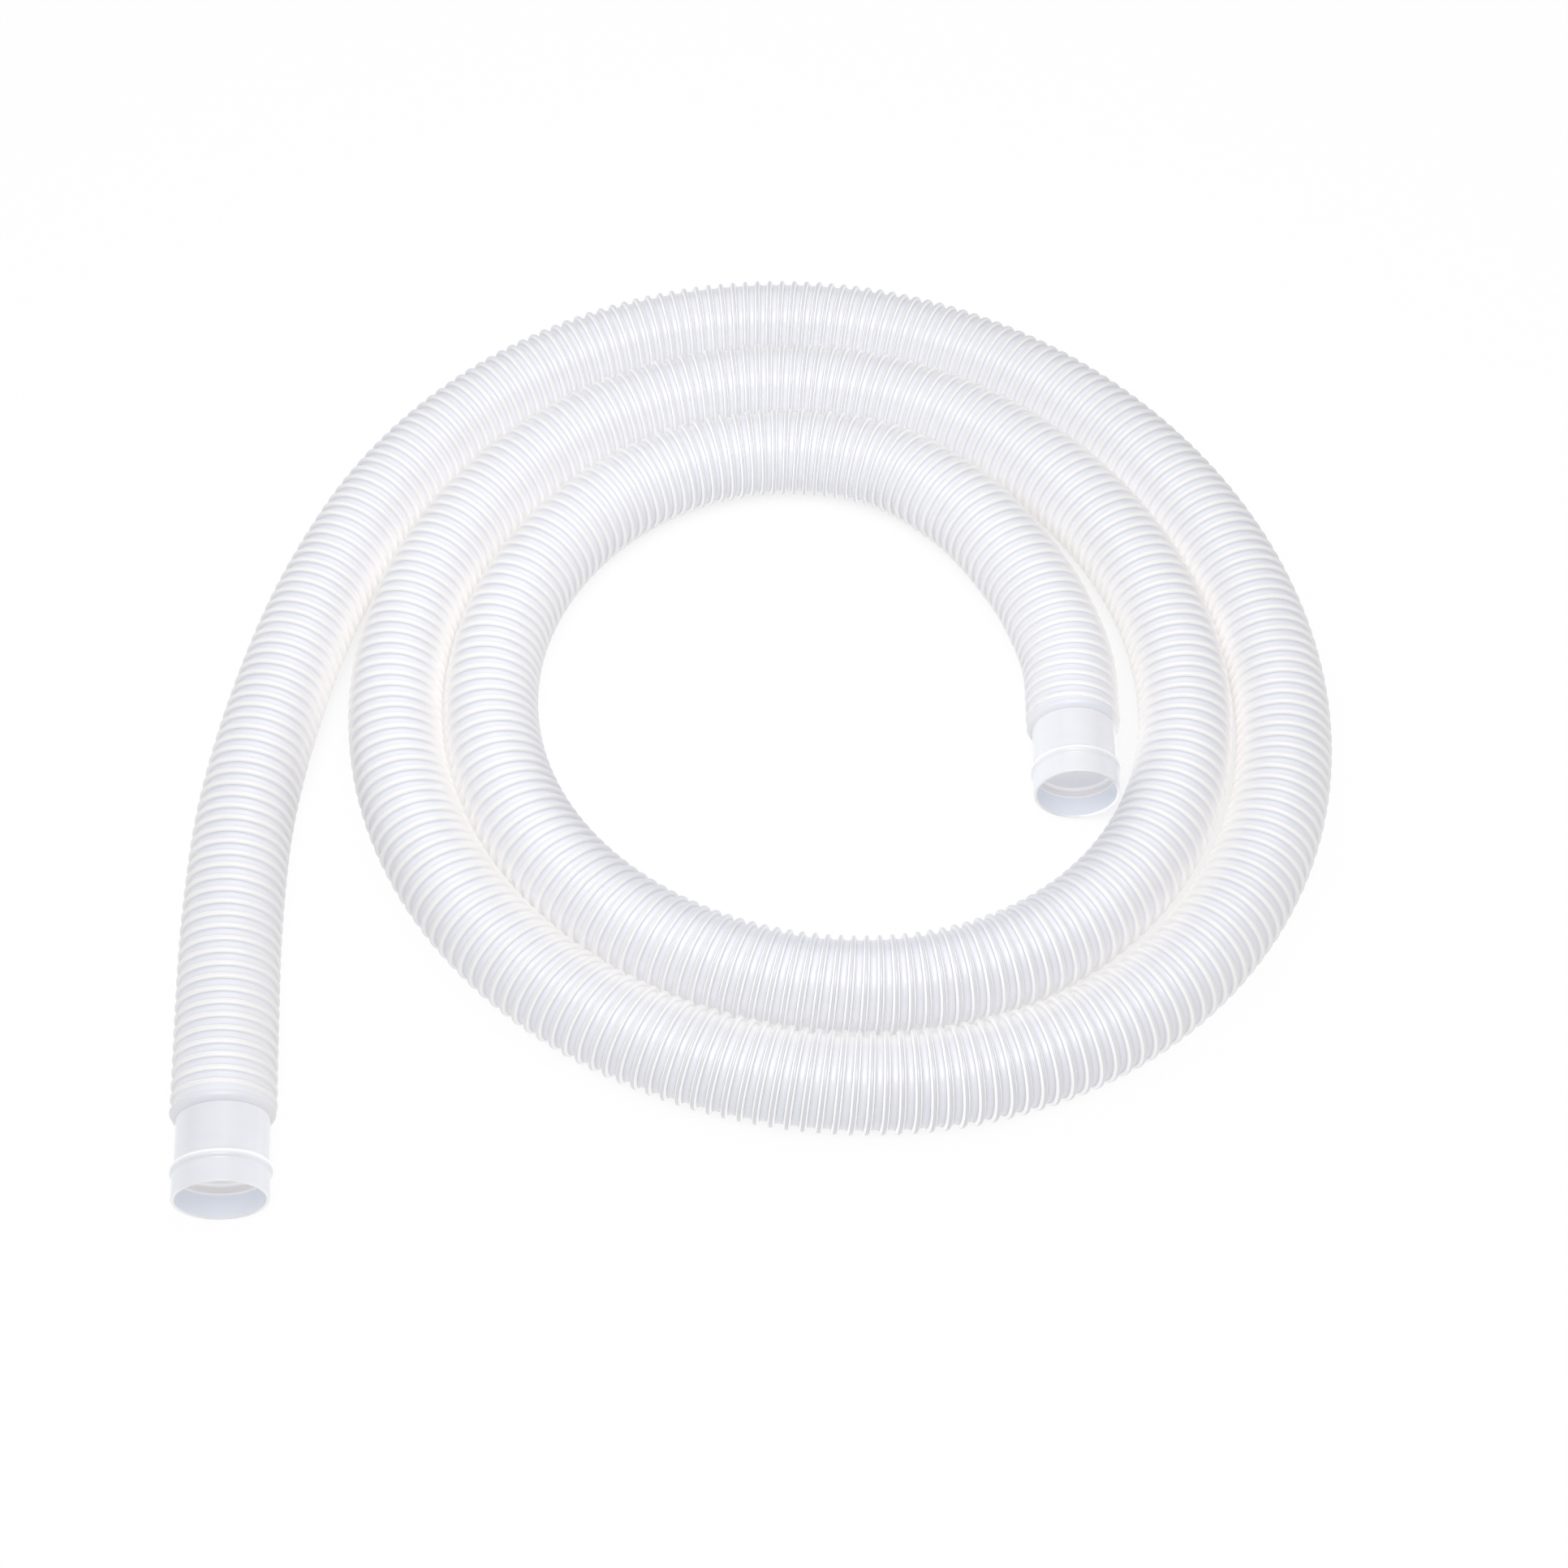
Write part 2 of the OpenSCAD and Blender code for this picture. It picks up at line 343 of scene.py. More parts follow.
        self.coil_end = float(self.runs[len(inner_run) + len(coil) - 2])
        self.inner_knots = inner_knots + shift
        self.outer_knots = outer_knots + shift

    def at(self, runs: np.ndarray) -> tuple[np.ndarray, np.ndarray]:
        """Places and directions at distances along the hose.

        Args:
            runs: Distances from the end inside the coil, in any array shape.

        Returns:
            Places and unit directions, with X and Y as the last axis.
        """
        place = [np.interp(runs, self.runs, self.points[:, k]) for k in (0, 1)]
        way = np.stack([np.interp(runs, self.runs, self.ways[:, k]) for k in (0, 1)], axis=-1)
        return np.stack(place, axis=-1), way / np.linalg.norm(way, axis=-1, keepdims=True)

    def path(self, start: float, end: float, step: float = 0.008) -> list[tuple[float, ...]]:
        """Points of the centre line between two distances.

        Args:
            start: Distance of the first point along the hose.
            end: Distance of the last point.
            step: Distance between two points, about.

        Returns:
            The points.
        """
        runs = np.linspace(start, end, int(round((end - start) / step)) + 1)
        place, _ = self.at(runs)
        return [(float(x), float(y), self.height) for x, y in place]

    def company(
        self, places: np.ndarray, runs: np.ndarray, middles: np.ndarray
    ) -> dict[str, np.ndarray]:
        """How each place lies to the other loops of the hose.

        The clear distance to the nearest loop leaves out the hose's own stretch beside the place.
        Painted light stands in for the light that a close loop carries over through the milky wall:
        a glow near the hose's sides, and cream high up on the side that faces the back and low down
        on the side that faces the front. Painted shade greys the back where it has no loop close
        behind it.

        Args:
            places: Array of places, one row each.
            runs: Distance along the hose of each place.
            middles: X and Y of the axis beside each place.

        Returns:
            Arrays of values from 0 to 1, by the name of their mark.
        """
        stations = np.arange(0.0, self.length, self.station_step)
        line, _ = self.at(stations)
        nearest = np.full(len(places), self.far)
        for part in np.array_split(np.arange(len(places)), max(1, len(places) // self.batch)):
            flat = places[part, None, :2] - line[None, :, :]
            away = np.sqrt((flat**2).sum(axis=-1) + (places[part, 2] - self.height)[:, None] ** 2)
            own = np.abs(stations[None, :] - runs[part, None]) < self.own_stretch
            nearest[part] = np.where(own, self.far, away).min(axis=1) - self.hose_radius
        close = (self.crowd_reach - nearest) / (self.crowd_reach - self.crowd_full)
        close = np.clip(close, 0.0, 1.0)
        outward = places[:, :2] - middles
        wide = np.maximum(np.linalg.norm(outward, axis=1), self.least_width)
        tilt = np.degrees(np.arctan2(places[:, 2] - self.height, wide))
        fades_at = self.cream_tilt + self.cream_swing * outward[:, 1] / wide
        cream = 1.0 - smooth_step((tilt - fades_at) / self.cream_soft)
        behind = smooth_step(outward[:, 1] / (self.back_share * self.hose_radius))
        # Masks of painted cream light, painted glow and painted shade
        return {
            "cream_painted_light": close * cream,
            "painted_glow": close * (1.0 - smooth_step(tilt / self.painted_glow_tilt)),
            "open_back_painted_shade": (1.0 - close) * behind,
        }

    def rib_depth(self, runs: np.ndarray) -> np.ndarray:
        """Share of the rib's full depth: it flattens evenly towards the hose's two ends."""
        to_end = np.minimum(runs, self.length - runs) / self.flat_ends
        return self.end_depth + (1.0 - self.end_depth) * np.clip(to_end, 0.0, 1.0)

    def knot(self, place: np.ndarray) -> tuple[float, float, float]:
        """A knot as a point at the height of the hose."""
        return float(place[0]), float(place[1]), self.height


def quads_of(grid: np.ndarray) -> np.ndarray:
    """Corners of the faces between the rows and columns of a grid of vertex numbers."""
    return np.stack([grid[:-1, :-1], grid[:-1, 1:], grid[1:, 1:], grid[1:, :-1]], axis=-1)


def triangles_of(quads: np.ndarray, order: tuple) -> np.ndarray:
    """Two triangles for each quad, from its corners in an order."""
    return quads[..., list(order)].reshape(-1, 3)


def make_piece(
    name: str, verts: np.ndarray, faces: np.ndarray, crease: float = 30.0
) -> bpy.types.Object:
    """Puts arrays into a new mesh object with smooth shading.

    Args:
        name: Name of the piece.
        verts: Array of places.
        faces: Array of corners, one row of three or four for each face.
        crease: Angle above which an edge is sharp.

    Returns:
        The new object, linked to the scene.
    """
    mesh = bpy.data.meshes.new(name)
    count, corners = faces.shape
    mesh.vertices.add(len(verts))
    mesh.vertices.foreach_set("co", verts.astype(np.float32).ravel())
    mesh.loops.add(count * corners)
    mesh.loops.foreach_set("vertex_index", faces.astype(np.int32).ravel())
    mesh.polygons.add(count)
    mesh.polygons.foreach_set("loop_start", np.arange(0, count * corners, corners, dtype=np.int32))
    mesh.polygons.foreach_set("use_smooth", np.ones(count, dtype=bool))
    mesh.update(calc_edges=True)
    mesh.validate()
    mesh.set_sharp_from_angle(angle=math.radians(crease))
    piece = bpy.data.objects.new(name, mesh)
    bpy.context.scene.collection.objects.link(piece)
    return piece


def mark(piece: bpy.types.Object, name: str, values: np.ndarray) -> None:
    """Stores a number or a vector for each vertex of a piece, for its material to read.

    Args:
        piece: The piece.
        name: Name of the mark.
        values: One number, or one row of three, for each vertex.
    """
    kind, key = ("FLOAT", "value") if values.ndim == 1 else ("FLOAT_VECTOR", "vector")
    layer = piece.data.attributes.new(name, kind, "POINT")
    layer.data.foreach_set(key, values.astype(np.float32).ravel())


def mark_lie(piece: bpy.types.Object, crosswise: np.ndarray, sideways: np.ndarray) -> None:
    """Marks how the hose lies at each vertex.

    The crest of the rib is painted grey, as painted shade, where the hose runs crosswise, along X:
    the mark is the fourth power of that share, and the sheen follows it too. Painted light pales the
    bands at the sides where the hose runs lengthwise.

    Args:
        piece: The piece.
        crosswise: X of the hose's direction at each vertex.
        sideways: Share of the radius that points to the hose's left, at each vertex.
    """
    # Mark for the painted shade of a grey crest where the hose runs crosswise
    mark(piece, "crosswise", crosswise**4)
    # Mark for the painted light that pales the sides of a lengthwise run
    side = np.clip((np.abs(sideways) - FADE_FROM) / FADE_OVER, 0.0, 1.0)
    mark(piece, "side_painted_light", side * (1.0 - crosswise**2))


@dataclass(frozen=True)
class RibShape:
    """Section of the tube's wall over one turn of its helical rib.

    The stops go from the middle of the crest, over the flank and the notch at its root, to the
    crown in the middle of the band between two turns.

    Attributes:
        pitch: Distance along the hose from one turn to the next.
        bore: Radius of the bore.
        stops: Distances from the middle of the crest, in millimetres.
        radii: Radii of the outside at the stops, in millimetres.
        middle: Share of the pitch at which the crown of the band lies.
    """

    pitch: float = 5.65 * MM
    bore: float = 16.0 * MM
    stops: tuple = (0.0, 0.42, 0.70, 0.95, 1.20, 1.45, 1.75, 2.825)
    radii: tuple = (20.00, 19.96, 19.76, 19.32, 18.76, 18.28, 17.98, 18.03)
    middle: float = 0.5

    def phases(self) -> np.ndarray:
        """Phases of one turn at which the grid has rows, in rising order from the crest."""
        half = np.array(self.stops) * MM / self.pitch
        return np.concatenate([half, 1.0 - half[-2:0:-1]])

    def from_rib(self, phase: np.ndarray) -> np.ndarray:
        """Distance from the middle of the rib, as a share of the pitch, from 0 to 0.5."""
        return np.abs((phase + self.middle) % 1.0 - self.middle)

    def radius(self, phase: np.ndarray) -> np.ndarray:
        """Radius of the outside at a phase."""
        reach = self.from_rib(phase) * self.pitch / MM
        return np.interp(reach, self.stops, self.radii) * MM


@dataclass
class RibbedStretch:
    """One stretch of the ribbed tube, with its bore and its two square ends.

    Attributes:
        name: Name of the piece.
        line: Centre line of the hose.
        start: Distance along the hose at which the stretch starts.
        end: Distance at which it ends.
        shape: Section of the wall.
        sides: Number of columns round the hose.
        crease: Angle above which an edge is sharp.
    """

    name: str
    line: HoseLine
    start: float
    end: float
    shape: RibShape = field(default_factory=RibShape)
    sides: int = 44
    crease: float = 75.0

    def place(self, runs: np.ndarray, turn: np.ndarray, radius: np.ndarray) -> np.ndarray:
        """Places on a tube: the centre line, plus the radius across it and up.

        Args:
            runs: Distances along the hose.
            turn: Angles round the hose in radians, 0 on its left and a quarter turn on top.
            radius: Radii.

        Returns:
            Array of places, one row for each value.
        """
        middle, way = self.line.at(runs)
        left = np.stack([-way[..., 1], way[..., 0]], axis=-1)
        flat = middle + left * (radius * np.cos(turn))[..., None]
        high = self.line.height + radius * np.sin(turn)
        return np.concatenate([flat, high[..., None]], axis=-1).reshape(-1, 3)

    def build(self) -> bpy.types.Object:
        """Makes the mesh.

        The grid follows the rib, a left-hand helix: a row keeps its phase, and steps back along
        the hose by one pitch in a turn. After the last column, a row goes on as the first column
        of the row one turn before it. Rows that leave the stretch are held at its ends, where
        their points fall together and are joined.

        Returns:
            The new object, marked with each vertex's distance from the rib, its place along and
            round the hose, how it lies to other loops, and how the hose lies there.
        """
        # Places of the ribbed outside
        pitch, sides = self.shape.pitch, self.sides
        phases = self.shape.phases()
        per_turn = len(phases)
        turns = np.arange(math.floor(self.start / pitch) - 1, math.ceil(self.end / pitch) + 2)
        row_phase = (turns[:, None] + phases[None, :]).ravel()
        column = np.arange(sides) / sides
        runs = pitch * (row_phase[:, None] - column[None, :])
        low, high = runs <= self.start, runs >= self.end
        runs = np.clip(runs, self.start, self.end)
        phase = runs / pitch + column[None, :]
        angle = np.broadcast_to(2 * np.pi * column, runs.shape)
        full = self.line.hose_radius
        valley = full - self.shape.radius(phase)
        outside = self.place(runs, angle, full - valley * self.line.rib_depth(runs))

        # Faces of the outside, with the rows that are held at an end joined there
        rows = len(row_phase)
        index = np.arange(rows * sides).reshape(rows, sides)
        low_row = low.sum(axis=0) - 1
        high_row = rows - high.sum(axis=0)
        spread = np.arange(sides)
        index = np.where(low, index[low_row, spread][None, :], index)
        index = np.where(high, index[high_row, spread][None, :], index)
        wrapped = np.vstack([np.broadcast_to(index[0, 0], (per_turn, 1)), index[:-per_turn, :1]])
        outer = triangles_of(quads_of(np.hstack([index, wrapped])), TURNED_ROUND)

        # Bore, with one ring for each turn of the rib
        count = max(2, int(round((self.end - self.start) / pitch)))
        bore_runs = np.linspace(self.start, self.end, count + 1)
        bore_shape = (count + 1, sides)
        bore = self.place(
            np.broadcast_to(bore_runs[:, None], bore_shape),
            np.broadcast_to(2 * np.pi * column, bore_shape),
            np.full(bore_shape, self.shape.bore),
        )
        ring = np.arange(bore_shape[0] * sides).reshape(bore_shape) + rows * sides
        ring = np.hstack([ring, ring[:, :1]])
        inner = triangles_of(quads_of(ring), AS_GIVEN)

        # Square ends between the outside and the bore
        first = np.append(index[low_row, spread], index[low_row[0], 0])
        last = np.append(index[high_row, spread], index[high_row[0], 0])
        front = np.stack([first[:-1], first[1:], ring[0, 1:], ring[0, :-1]], axis=-1)
        back = np.stack([last[:-1], ring[-1, :-1], ring[-1, 1:], last[1:]], axis=-1)
        caps = triangles_of(np.concatenate([front, back]), AS_GIVEN)

        # Mesh of the faces that still have three corners, and its marks
        faces = np.concatenate([outer, inner, caps])
        faces = faces[(faces != np.roll(faces, 1, axis=1)).all(axis=1)]
        verts = np.concatenate([outside, bore])
        in_bore = np.full(len(bore), self.shape.middle)
        from_rib = np.concatenate([self.shape.from_rib(phase).ravel(), in_bore])
        all_runs = np.concatenate([runs.ravel(), np.repeat(bore_runs, sides)])
        all_turns = np.concatenate([angle.ravel(), np.tile(2 * np.pi * column, count + 1)])
        lay = np.stack([all_runs / pitch, np.cos(all_turns), np.sin(all_turns)], axis=1)
        used, faces = np.unique(faces, return_inverse=True)
        piece = make_piece(self.name, verts[used], faces.reshape(-1, 3), self.crease)
        mark(piece, "from_rib", from_rib[used])
        mark(piece, "lay", lay[used])
        middle, way = self.line.at(all_runs[used])
        # Masks of painted cream light, painted glow and painted shade beside other loops
        for name, values in self.line.company(verts[used], all_runs[used], middle).items():
            mark(piece, name, values)
        mark_lie(piece, way[:, 0], np.cos(all_turns[used]))
        return piece

    def declare(
        self
    ) -> None:
        """Works out the points of the stretch's centre line, reversed for the stretch at the inner
        end, and does nothing more with them.
        """
        path = self.line.path(self.start, self.end)
        if self.start == 0.0:
            path.reverse()


@dataclass
class TurnedPiece:
    """A round piece on the end of the hose: a closed section turned about the hose's axis.

    Attributes:
        name: Name of the piece.
        line: Centre line of the hose.
        run: Distance along the hose of its end.
        out: Direction in which the mouth faces.
        section: Places along the axis and radii, in millimetres.
        sides: Number of columns round the axis.
        oval: Share by which the mouth is out of round.
        oval_lean: Angle of the oval, in radians.
        lay_step: Length along the axis that counts as one turn of a rib.
        crease: Angle above which an edge is sharp.
    """

    name: str
    line: HoseLine
    run: float
    out: np.ndarray
    section: np.ndarray
    sides: int = 128
    oval: float = 0.0
    oval_lean: float = 0.6
    lay_step: float = 5 * MM
    crease: float = 42.0

    def grid(self) -> tuple[np.ndarray, np.ndarray, np.ndarray]:
        """Points of the section in each column round the axis.

        Returns:
            Places along the axis, radii and angles in radians, one row for each point.
        """
        turn = np.linspace(0.0, 2 * np.pi, self.sides, endpoint=False)
        turn = np.broadcast_to(turn, (len(self.section), self.sides))
        along = np.broadcast_to(self.section[:, :1] * MM, turn.shape)
        radius = np.broadcast_to(self.section[:, 1:] * MM, turn.shape)
        return along, radius, turn

    def reach(self, along: np.ndarray, radius: np.ndarray, turn: np.ndarray) -> np.ndarray:
        """Radius of each point: the section's, a little out of round towards the mouth."""
        share = np.clip(along / along.max(), 0.0, 1.0) ** 2
        return radius * (1.0 + self.oval * share * np.cos(2 * turn + self.oval_lean))

    def build(self) -> bpy.types.Object:
        """Makes the mesh: each point of the section goes once round the axis, and the loop closes.

        Returns:
            The new object, marked with each vertex's place along and round the axis, and how it
            lies to the loops of the hose, for the painted light and shade there.
        """
        end, _ = self.line.at(np.array(self.run))
        along, radius, turn = self.grid()
        reach = self.reach(along, radius, turn)
        left = np.array([-self.out[1], self.out[0]])
        axis = end + self.out * along[..., None]
        flat = axis + left * (reach * np.cos(turn))[..., None]
        high = self.line.height + reach * np.sin(turn)
        verts = np.concatenate([flat, high[..., None]], axis=-1).reshape(-1, 3)
        index = np.arange(turn.size).reshape(turn.shape)
        index = np.vstack([index, index[:1]])
        index = np.hstack([index, index[:, :1]])
        faces = quads_of(index).reshape(-1, 4)[:, ::-1]
        piece = make_piece(self.name, verts, faces, self.crease)
        lay = np.stack([along / self.lay_step, np.cos(turn), np.sin(turn)], axis=-1)
        mark(piece, "lay", lay.reshape(-1, 3))
        runs = np.full(len(verts), self.run)
        # Masks of painted cream light, painted glow and painted shade beside other loops
        for name, values in self.line.company(verts, runs, axis.reshape(-1, 2)).items():
            mark(piece, name, values)
        return piece


@dataclass
class RibbedCollar(TurnedPiece):
    """Last turn of the ribs, which runs into a round lip at the end of the hose.

    Attributes:
        shape: Section of the hose's wall.
        lip_at: Place of the top of the lip along the axis.
        lip_half: Half of the lip's width.
        lip_radius: Radius at the top of the lip.
        lip_fall: Fall of the lip from its top to its sides.
        lip_band: Distance from the rib that the lip is coloured as, as a share of the pitch.
        least_radius: Radius of the valley beside the rib.
    """

    shape: RibShape = field(default_factory=RibShape)
    lip_at: float = 4.9 * MM
    lip_half: float = 2.6 * MM
    lip_radius: float = 19.6 * MM
    lip_fall: float = 2.06 * MM
    lip_band: float = 0.36
    least_radius: float = 19.2 * MM

    def rib_phase(self, along: np.ndarray, turn: np.ndarray) -> np.ndarray:
        """Phase of the rib past the hose's end, as the hose's own helix goes on.

        The inner mouth faces back along the hose, so that its left is the hose's right: there the
        angle runs the other way, from half a turn.

        Args:
            along: Places along the axis, outwards from the end of the hose.
            turn: Angles round the axis, in radians.

        Returns:
            The phases.
        """
        if self.run > 0.0:
            return (self.run + along) / self.shape.pitch + turn / (2 * np.pi)
        return -along / self.shape.pitch + 0.5 - turn / (2 * np.pi)

    def lip(self, along: np.ndarray) -> np.ndarray:
        """Radius of the lip: a round bead that falls away on both sides as a square."""
        return self.lip_radius - self.lip_fall * ((along - self.lip_at) / self.lip_half) ** 2

    def rib_reach(self, along: np.ndarray, turn: np.ndarray) -> np.ndarray:
        """Radius of the rib and the shallow valley beside it, which end on top of the lip."""
        rib = self.shape.radius(self.rib_phase(along, turn))
        return np.where(along > self.lip_at, 0.0, np.maximum(rib, self.least_radius))

    def reach(self, along: np.ndarray, radius: np.ndarray, turn: np.ndarray) -> np.ndarray:
        """Radius of each point: outside, the higher of the rib and the lip."""
        higher = np.maximum(self.rib_reach(along, turn), self.lip(along))
        return np.where(radius > self.lip_radius, higher, radius)

    def build(self) -> bpy.types.Object:
        """Makes the mesh, and marks the bands of the rib on it. The lip is as bluish as a valley.

        Returns:
            The new object, also marked with each vertex's distance from the rib and how the hose
            lies there.
        """
        piece = super().build()
        along, _, turn = self.grid()
        bands = self.shape.from_rib(self.rib_phase(along, turn))
        on_lip = self.lip(along) > self.rib_reach(along, turn)
        mark(piece, "from_rib", np.where(on_lip, self.lip_band, bands).ravel())
        mark_lie(piece, np.full(turn.size, self.out[0]), np.cos(turn).ravel())
        return piece


def rounded(corners: list[tuple[float, float, float]]) -> np.ndarray:
    """Closed section whose corners are rounded.

    Each corner gives way to a curve that leaves one edge and joins the next, at a distance from
    the corner that is never more than a set share of the shorter edge.

    Args:
        corners: Place along the axis, radius, and rounding of each corner, in millimetres.

    Returns:
        Array of places along the axis and radii.
    """
    at = np.array([c[:2] for c in corners])
    points = []
    for i, (_, _, size) in enumerate(corners):
        before, here, after = at[i - 1], at[i], at[(i + 1) % len(at)]
        if size <= 0.0:
            points.append(here[None, :])
            continue
        back, on = before - here, after - here
        reach = min(size, ROUND_SHARE * np.linalg.norm(back), ROUND_SHARE * np.linalg.norm(on))
        t = np.linspace(0.0, 1.0, ROUND_STEPS + 1)[:, None]
        start, stop = here + unit(back) * reach, here + unit(on) * reach
        points.append(start * (1 - t) ** 2 + 2 * here * t * (1 - t) + stop * t * t)
    return np.concatenate(points)


@dataclass(frozen=True)
class CuffShape:
    """Sizes of a cuff and its collar along the hose's axis, in millimetres.

    Attributes:
        spigot: Length of the spigot inside the hose.
        spigot_r: Outside radius of the spigot.
        wall: Wall of the cuff.
        seat: Place of the shoulder that the hose's end face meets.
        stop: Place of the stop that a fitting meets.
        socket_r: Radius of the bore.
        sleeve_r: Outside radius of the sleeve.
        bead_at: Place at which the bead starts.
        bead_width: Width of the bead.
        bead_r: Outside radius of the bead.
        bead_foot: Reach of the bead's slopes beyond its width.
        bead_flat: Half of the width of the bead's top.
        groove_foot: Reach of the slopes of the groove inside the bead.
        groove_flat: Half of the width of the groove's floor.
        mouth_r: Outside radius of the mouth.
        rim_at: Place of the rim.
        collar_len: Length of the collar.
        collar_rows: Number of points along the outside of the collar.
        collar_ri: Inside radius of the collar.
        collar_r: Outside radius of the collar.
        oval: Share by which the mouth is out of round.
        rim_tie: Weight of the radius that picks the outer one of two points on the rim.
        back_round: Rounding of the spigot's outer back edge.
        back_edge: Rounding of the spigot's inner back edge.
        foot_round: Rounding at the bead's feet.
        bead_round: Rounding of the bead's top.
        rim_round: Rounding of the rim's two edges.
        groove_edge: Rounding at the edges of the groove.
        groove_round: Rounding of the groove's floor.
        stop_foot: Rounding at the foot of the stop.
        stop_edge: Rounding of the stop's edge.
    """

    spigot: float = 15.0
    spigot_r: float = 15.8
    wall: float = 1.35
    seat: float = 0.02
    stop: float = 2.0
    socket_r: float = 16.1
    sleeve_r: float = 17.45
    bead_at: float = 27.0
    bead_width: float = 3.0
    bead_r: float = 18.8
    bead_foot: float = 0.5
    bead_flat: float = 1.1
    groove_foot: float = 0.4
    groove_flat: float = 0.8
    mouth_r: float = 17.95
    rim_at: float = 40.0
    collar_len: float = 7.5
    collar_rows: int = 34
    collar_ri: float = 17.47
    collar_r: float = 20.0
    oval: float = 0.006
    rim_tie: float = 0.01
    back_round: float = 0.5
    back_edge: float = 0.3
    foot_round: float = 0.8
    bead_round: float = 0.9
    rim_round: float = 0.45
    groove_edge: float = 0.7
    groove_round: float = 0.6
    stop_foot: float = 0.2
    stop_edge: float = 0.4

    def cuff_section(self) -> np.ndarray:
        """Section of the cuff, from the back of its spigot round the rim and back inside.

        Returns:
            Array of places along the axis and radii.
        """
        bead_end = self.bead_at + self.bead_width
        mouth_ri = self.mouth_r - self.wall
        spigot_ri = self.spigot_r - self.wall
        groove_r = self.bead_r - self.wall
        middle = self.bead_at + self.bead_width / 2
        return rounded(
            [
                (-self.spigot, spigot_ri, self.back_edge),
                (-self.spigot, self.spigot_r, self.back_round),
                (self.seat, self.spigot_r, 0.0),
                (self.seat, self.sleeve_r, 0.0),
                (self.bead_at - self.bead_foot, self.sleeve_r, self.foot_round),
                (middle - self.bead_flat, self.bead_r, self.bead_round),
                (middle + self.bead_flat, self.bead_r, self.bead_round),
                (bead_end + self.bead_foot, self.mouth_r, self.foot_round),
                (self.rim_at, self.mouth_r, self.rim_round),
                (self.rim_at, mouth_ri, self.rim_round),
                (bead_end + self.groove_foot, mouth_ri, self.groove_edge),
                (middle + self.groove_flat, groove_r, self.groove_round),
                (middle - self.groove_flat, groove_r, self.groove_round),
                (self.bead_at - self.groove_foot, self.socket_r, self.groove_edge),
                (self.stop, self.socket_r, self.stop_foot),
                (self.stop, spigot_ri, self.stop_edge),
            ]
        )

    def from_rim(self, section: np.ndarray) -> np.ndarray:
        """Distance from the rim of each point of the cuff's section, with more added inside.

        Args:
            section: The section.

        Returns:
            The distances, in millimetres.
        """
        rim = int(np.argmax(section[:, 0] + self.rim_tie * section[:, 1]))
        inside = np.arange(len(section)) > rim + ROUND_STEPS
        return self.rim_at - section[:, 0] + np.where(inside, INSIDE_FROM, 0.0)

    def collar_section(self) -> np.ndarray:
        """Section of the collar: a fine row of points outside, which the rib and lip then shape.

        Returns:
            Array of places along the axis and radii.
        """
        along = np.linspace(0.0, self.collar_len, self.collar_rows)
        outside = np.stack([along, np.full(self.collar_rows, self.collar_r)], axis=1)
        inside = np.array([(self.collar_len, self.collar_ri), (0.0, self.collar_ri)])
        return np.concatenate([outside, inside])


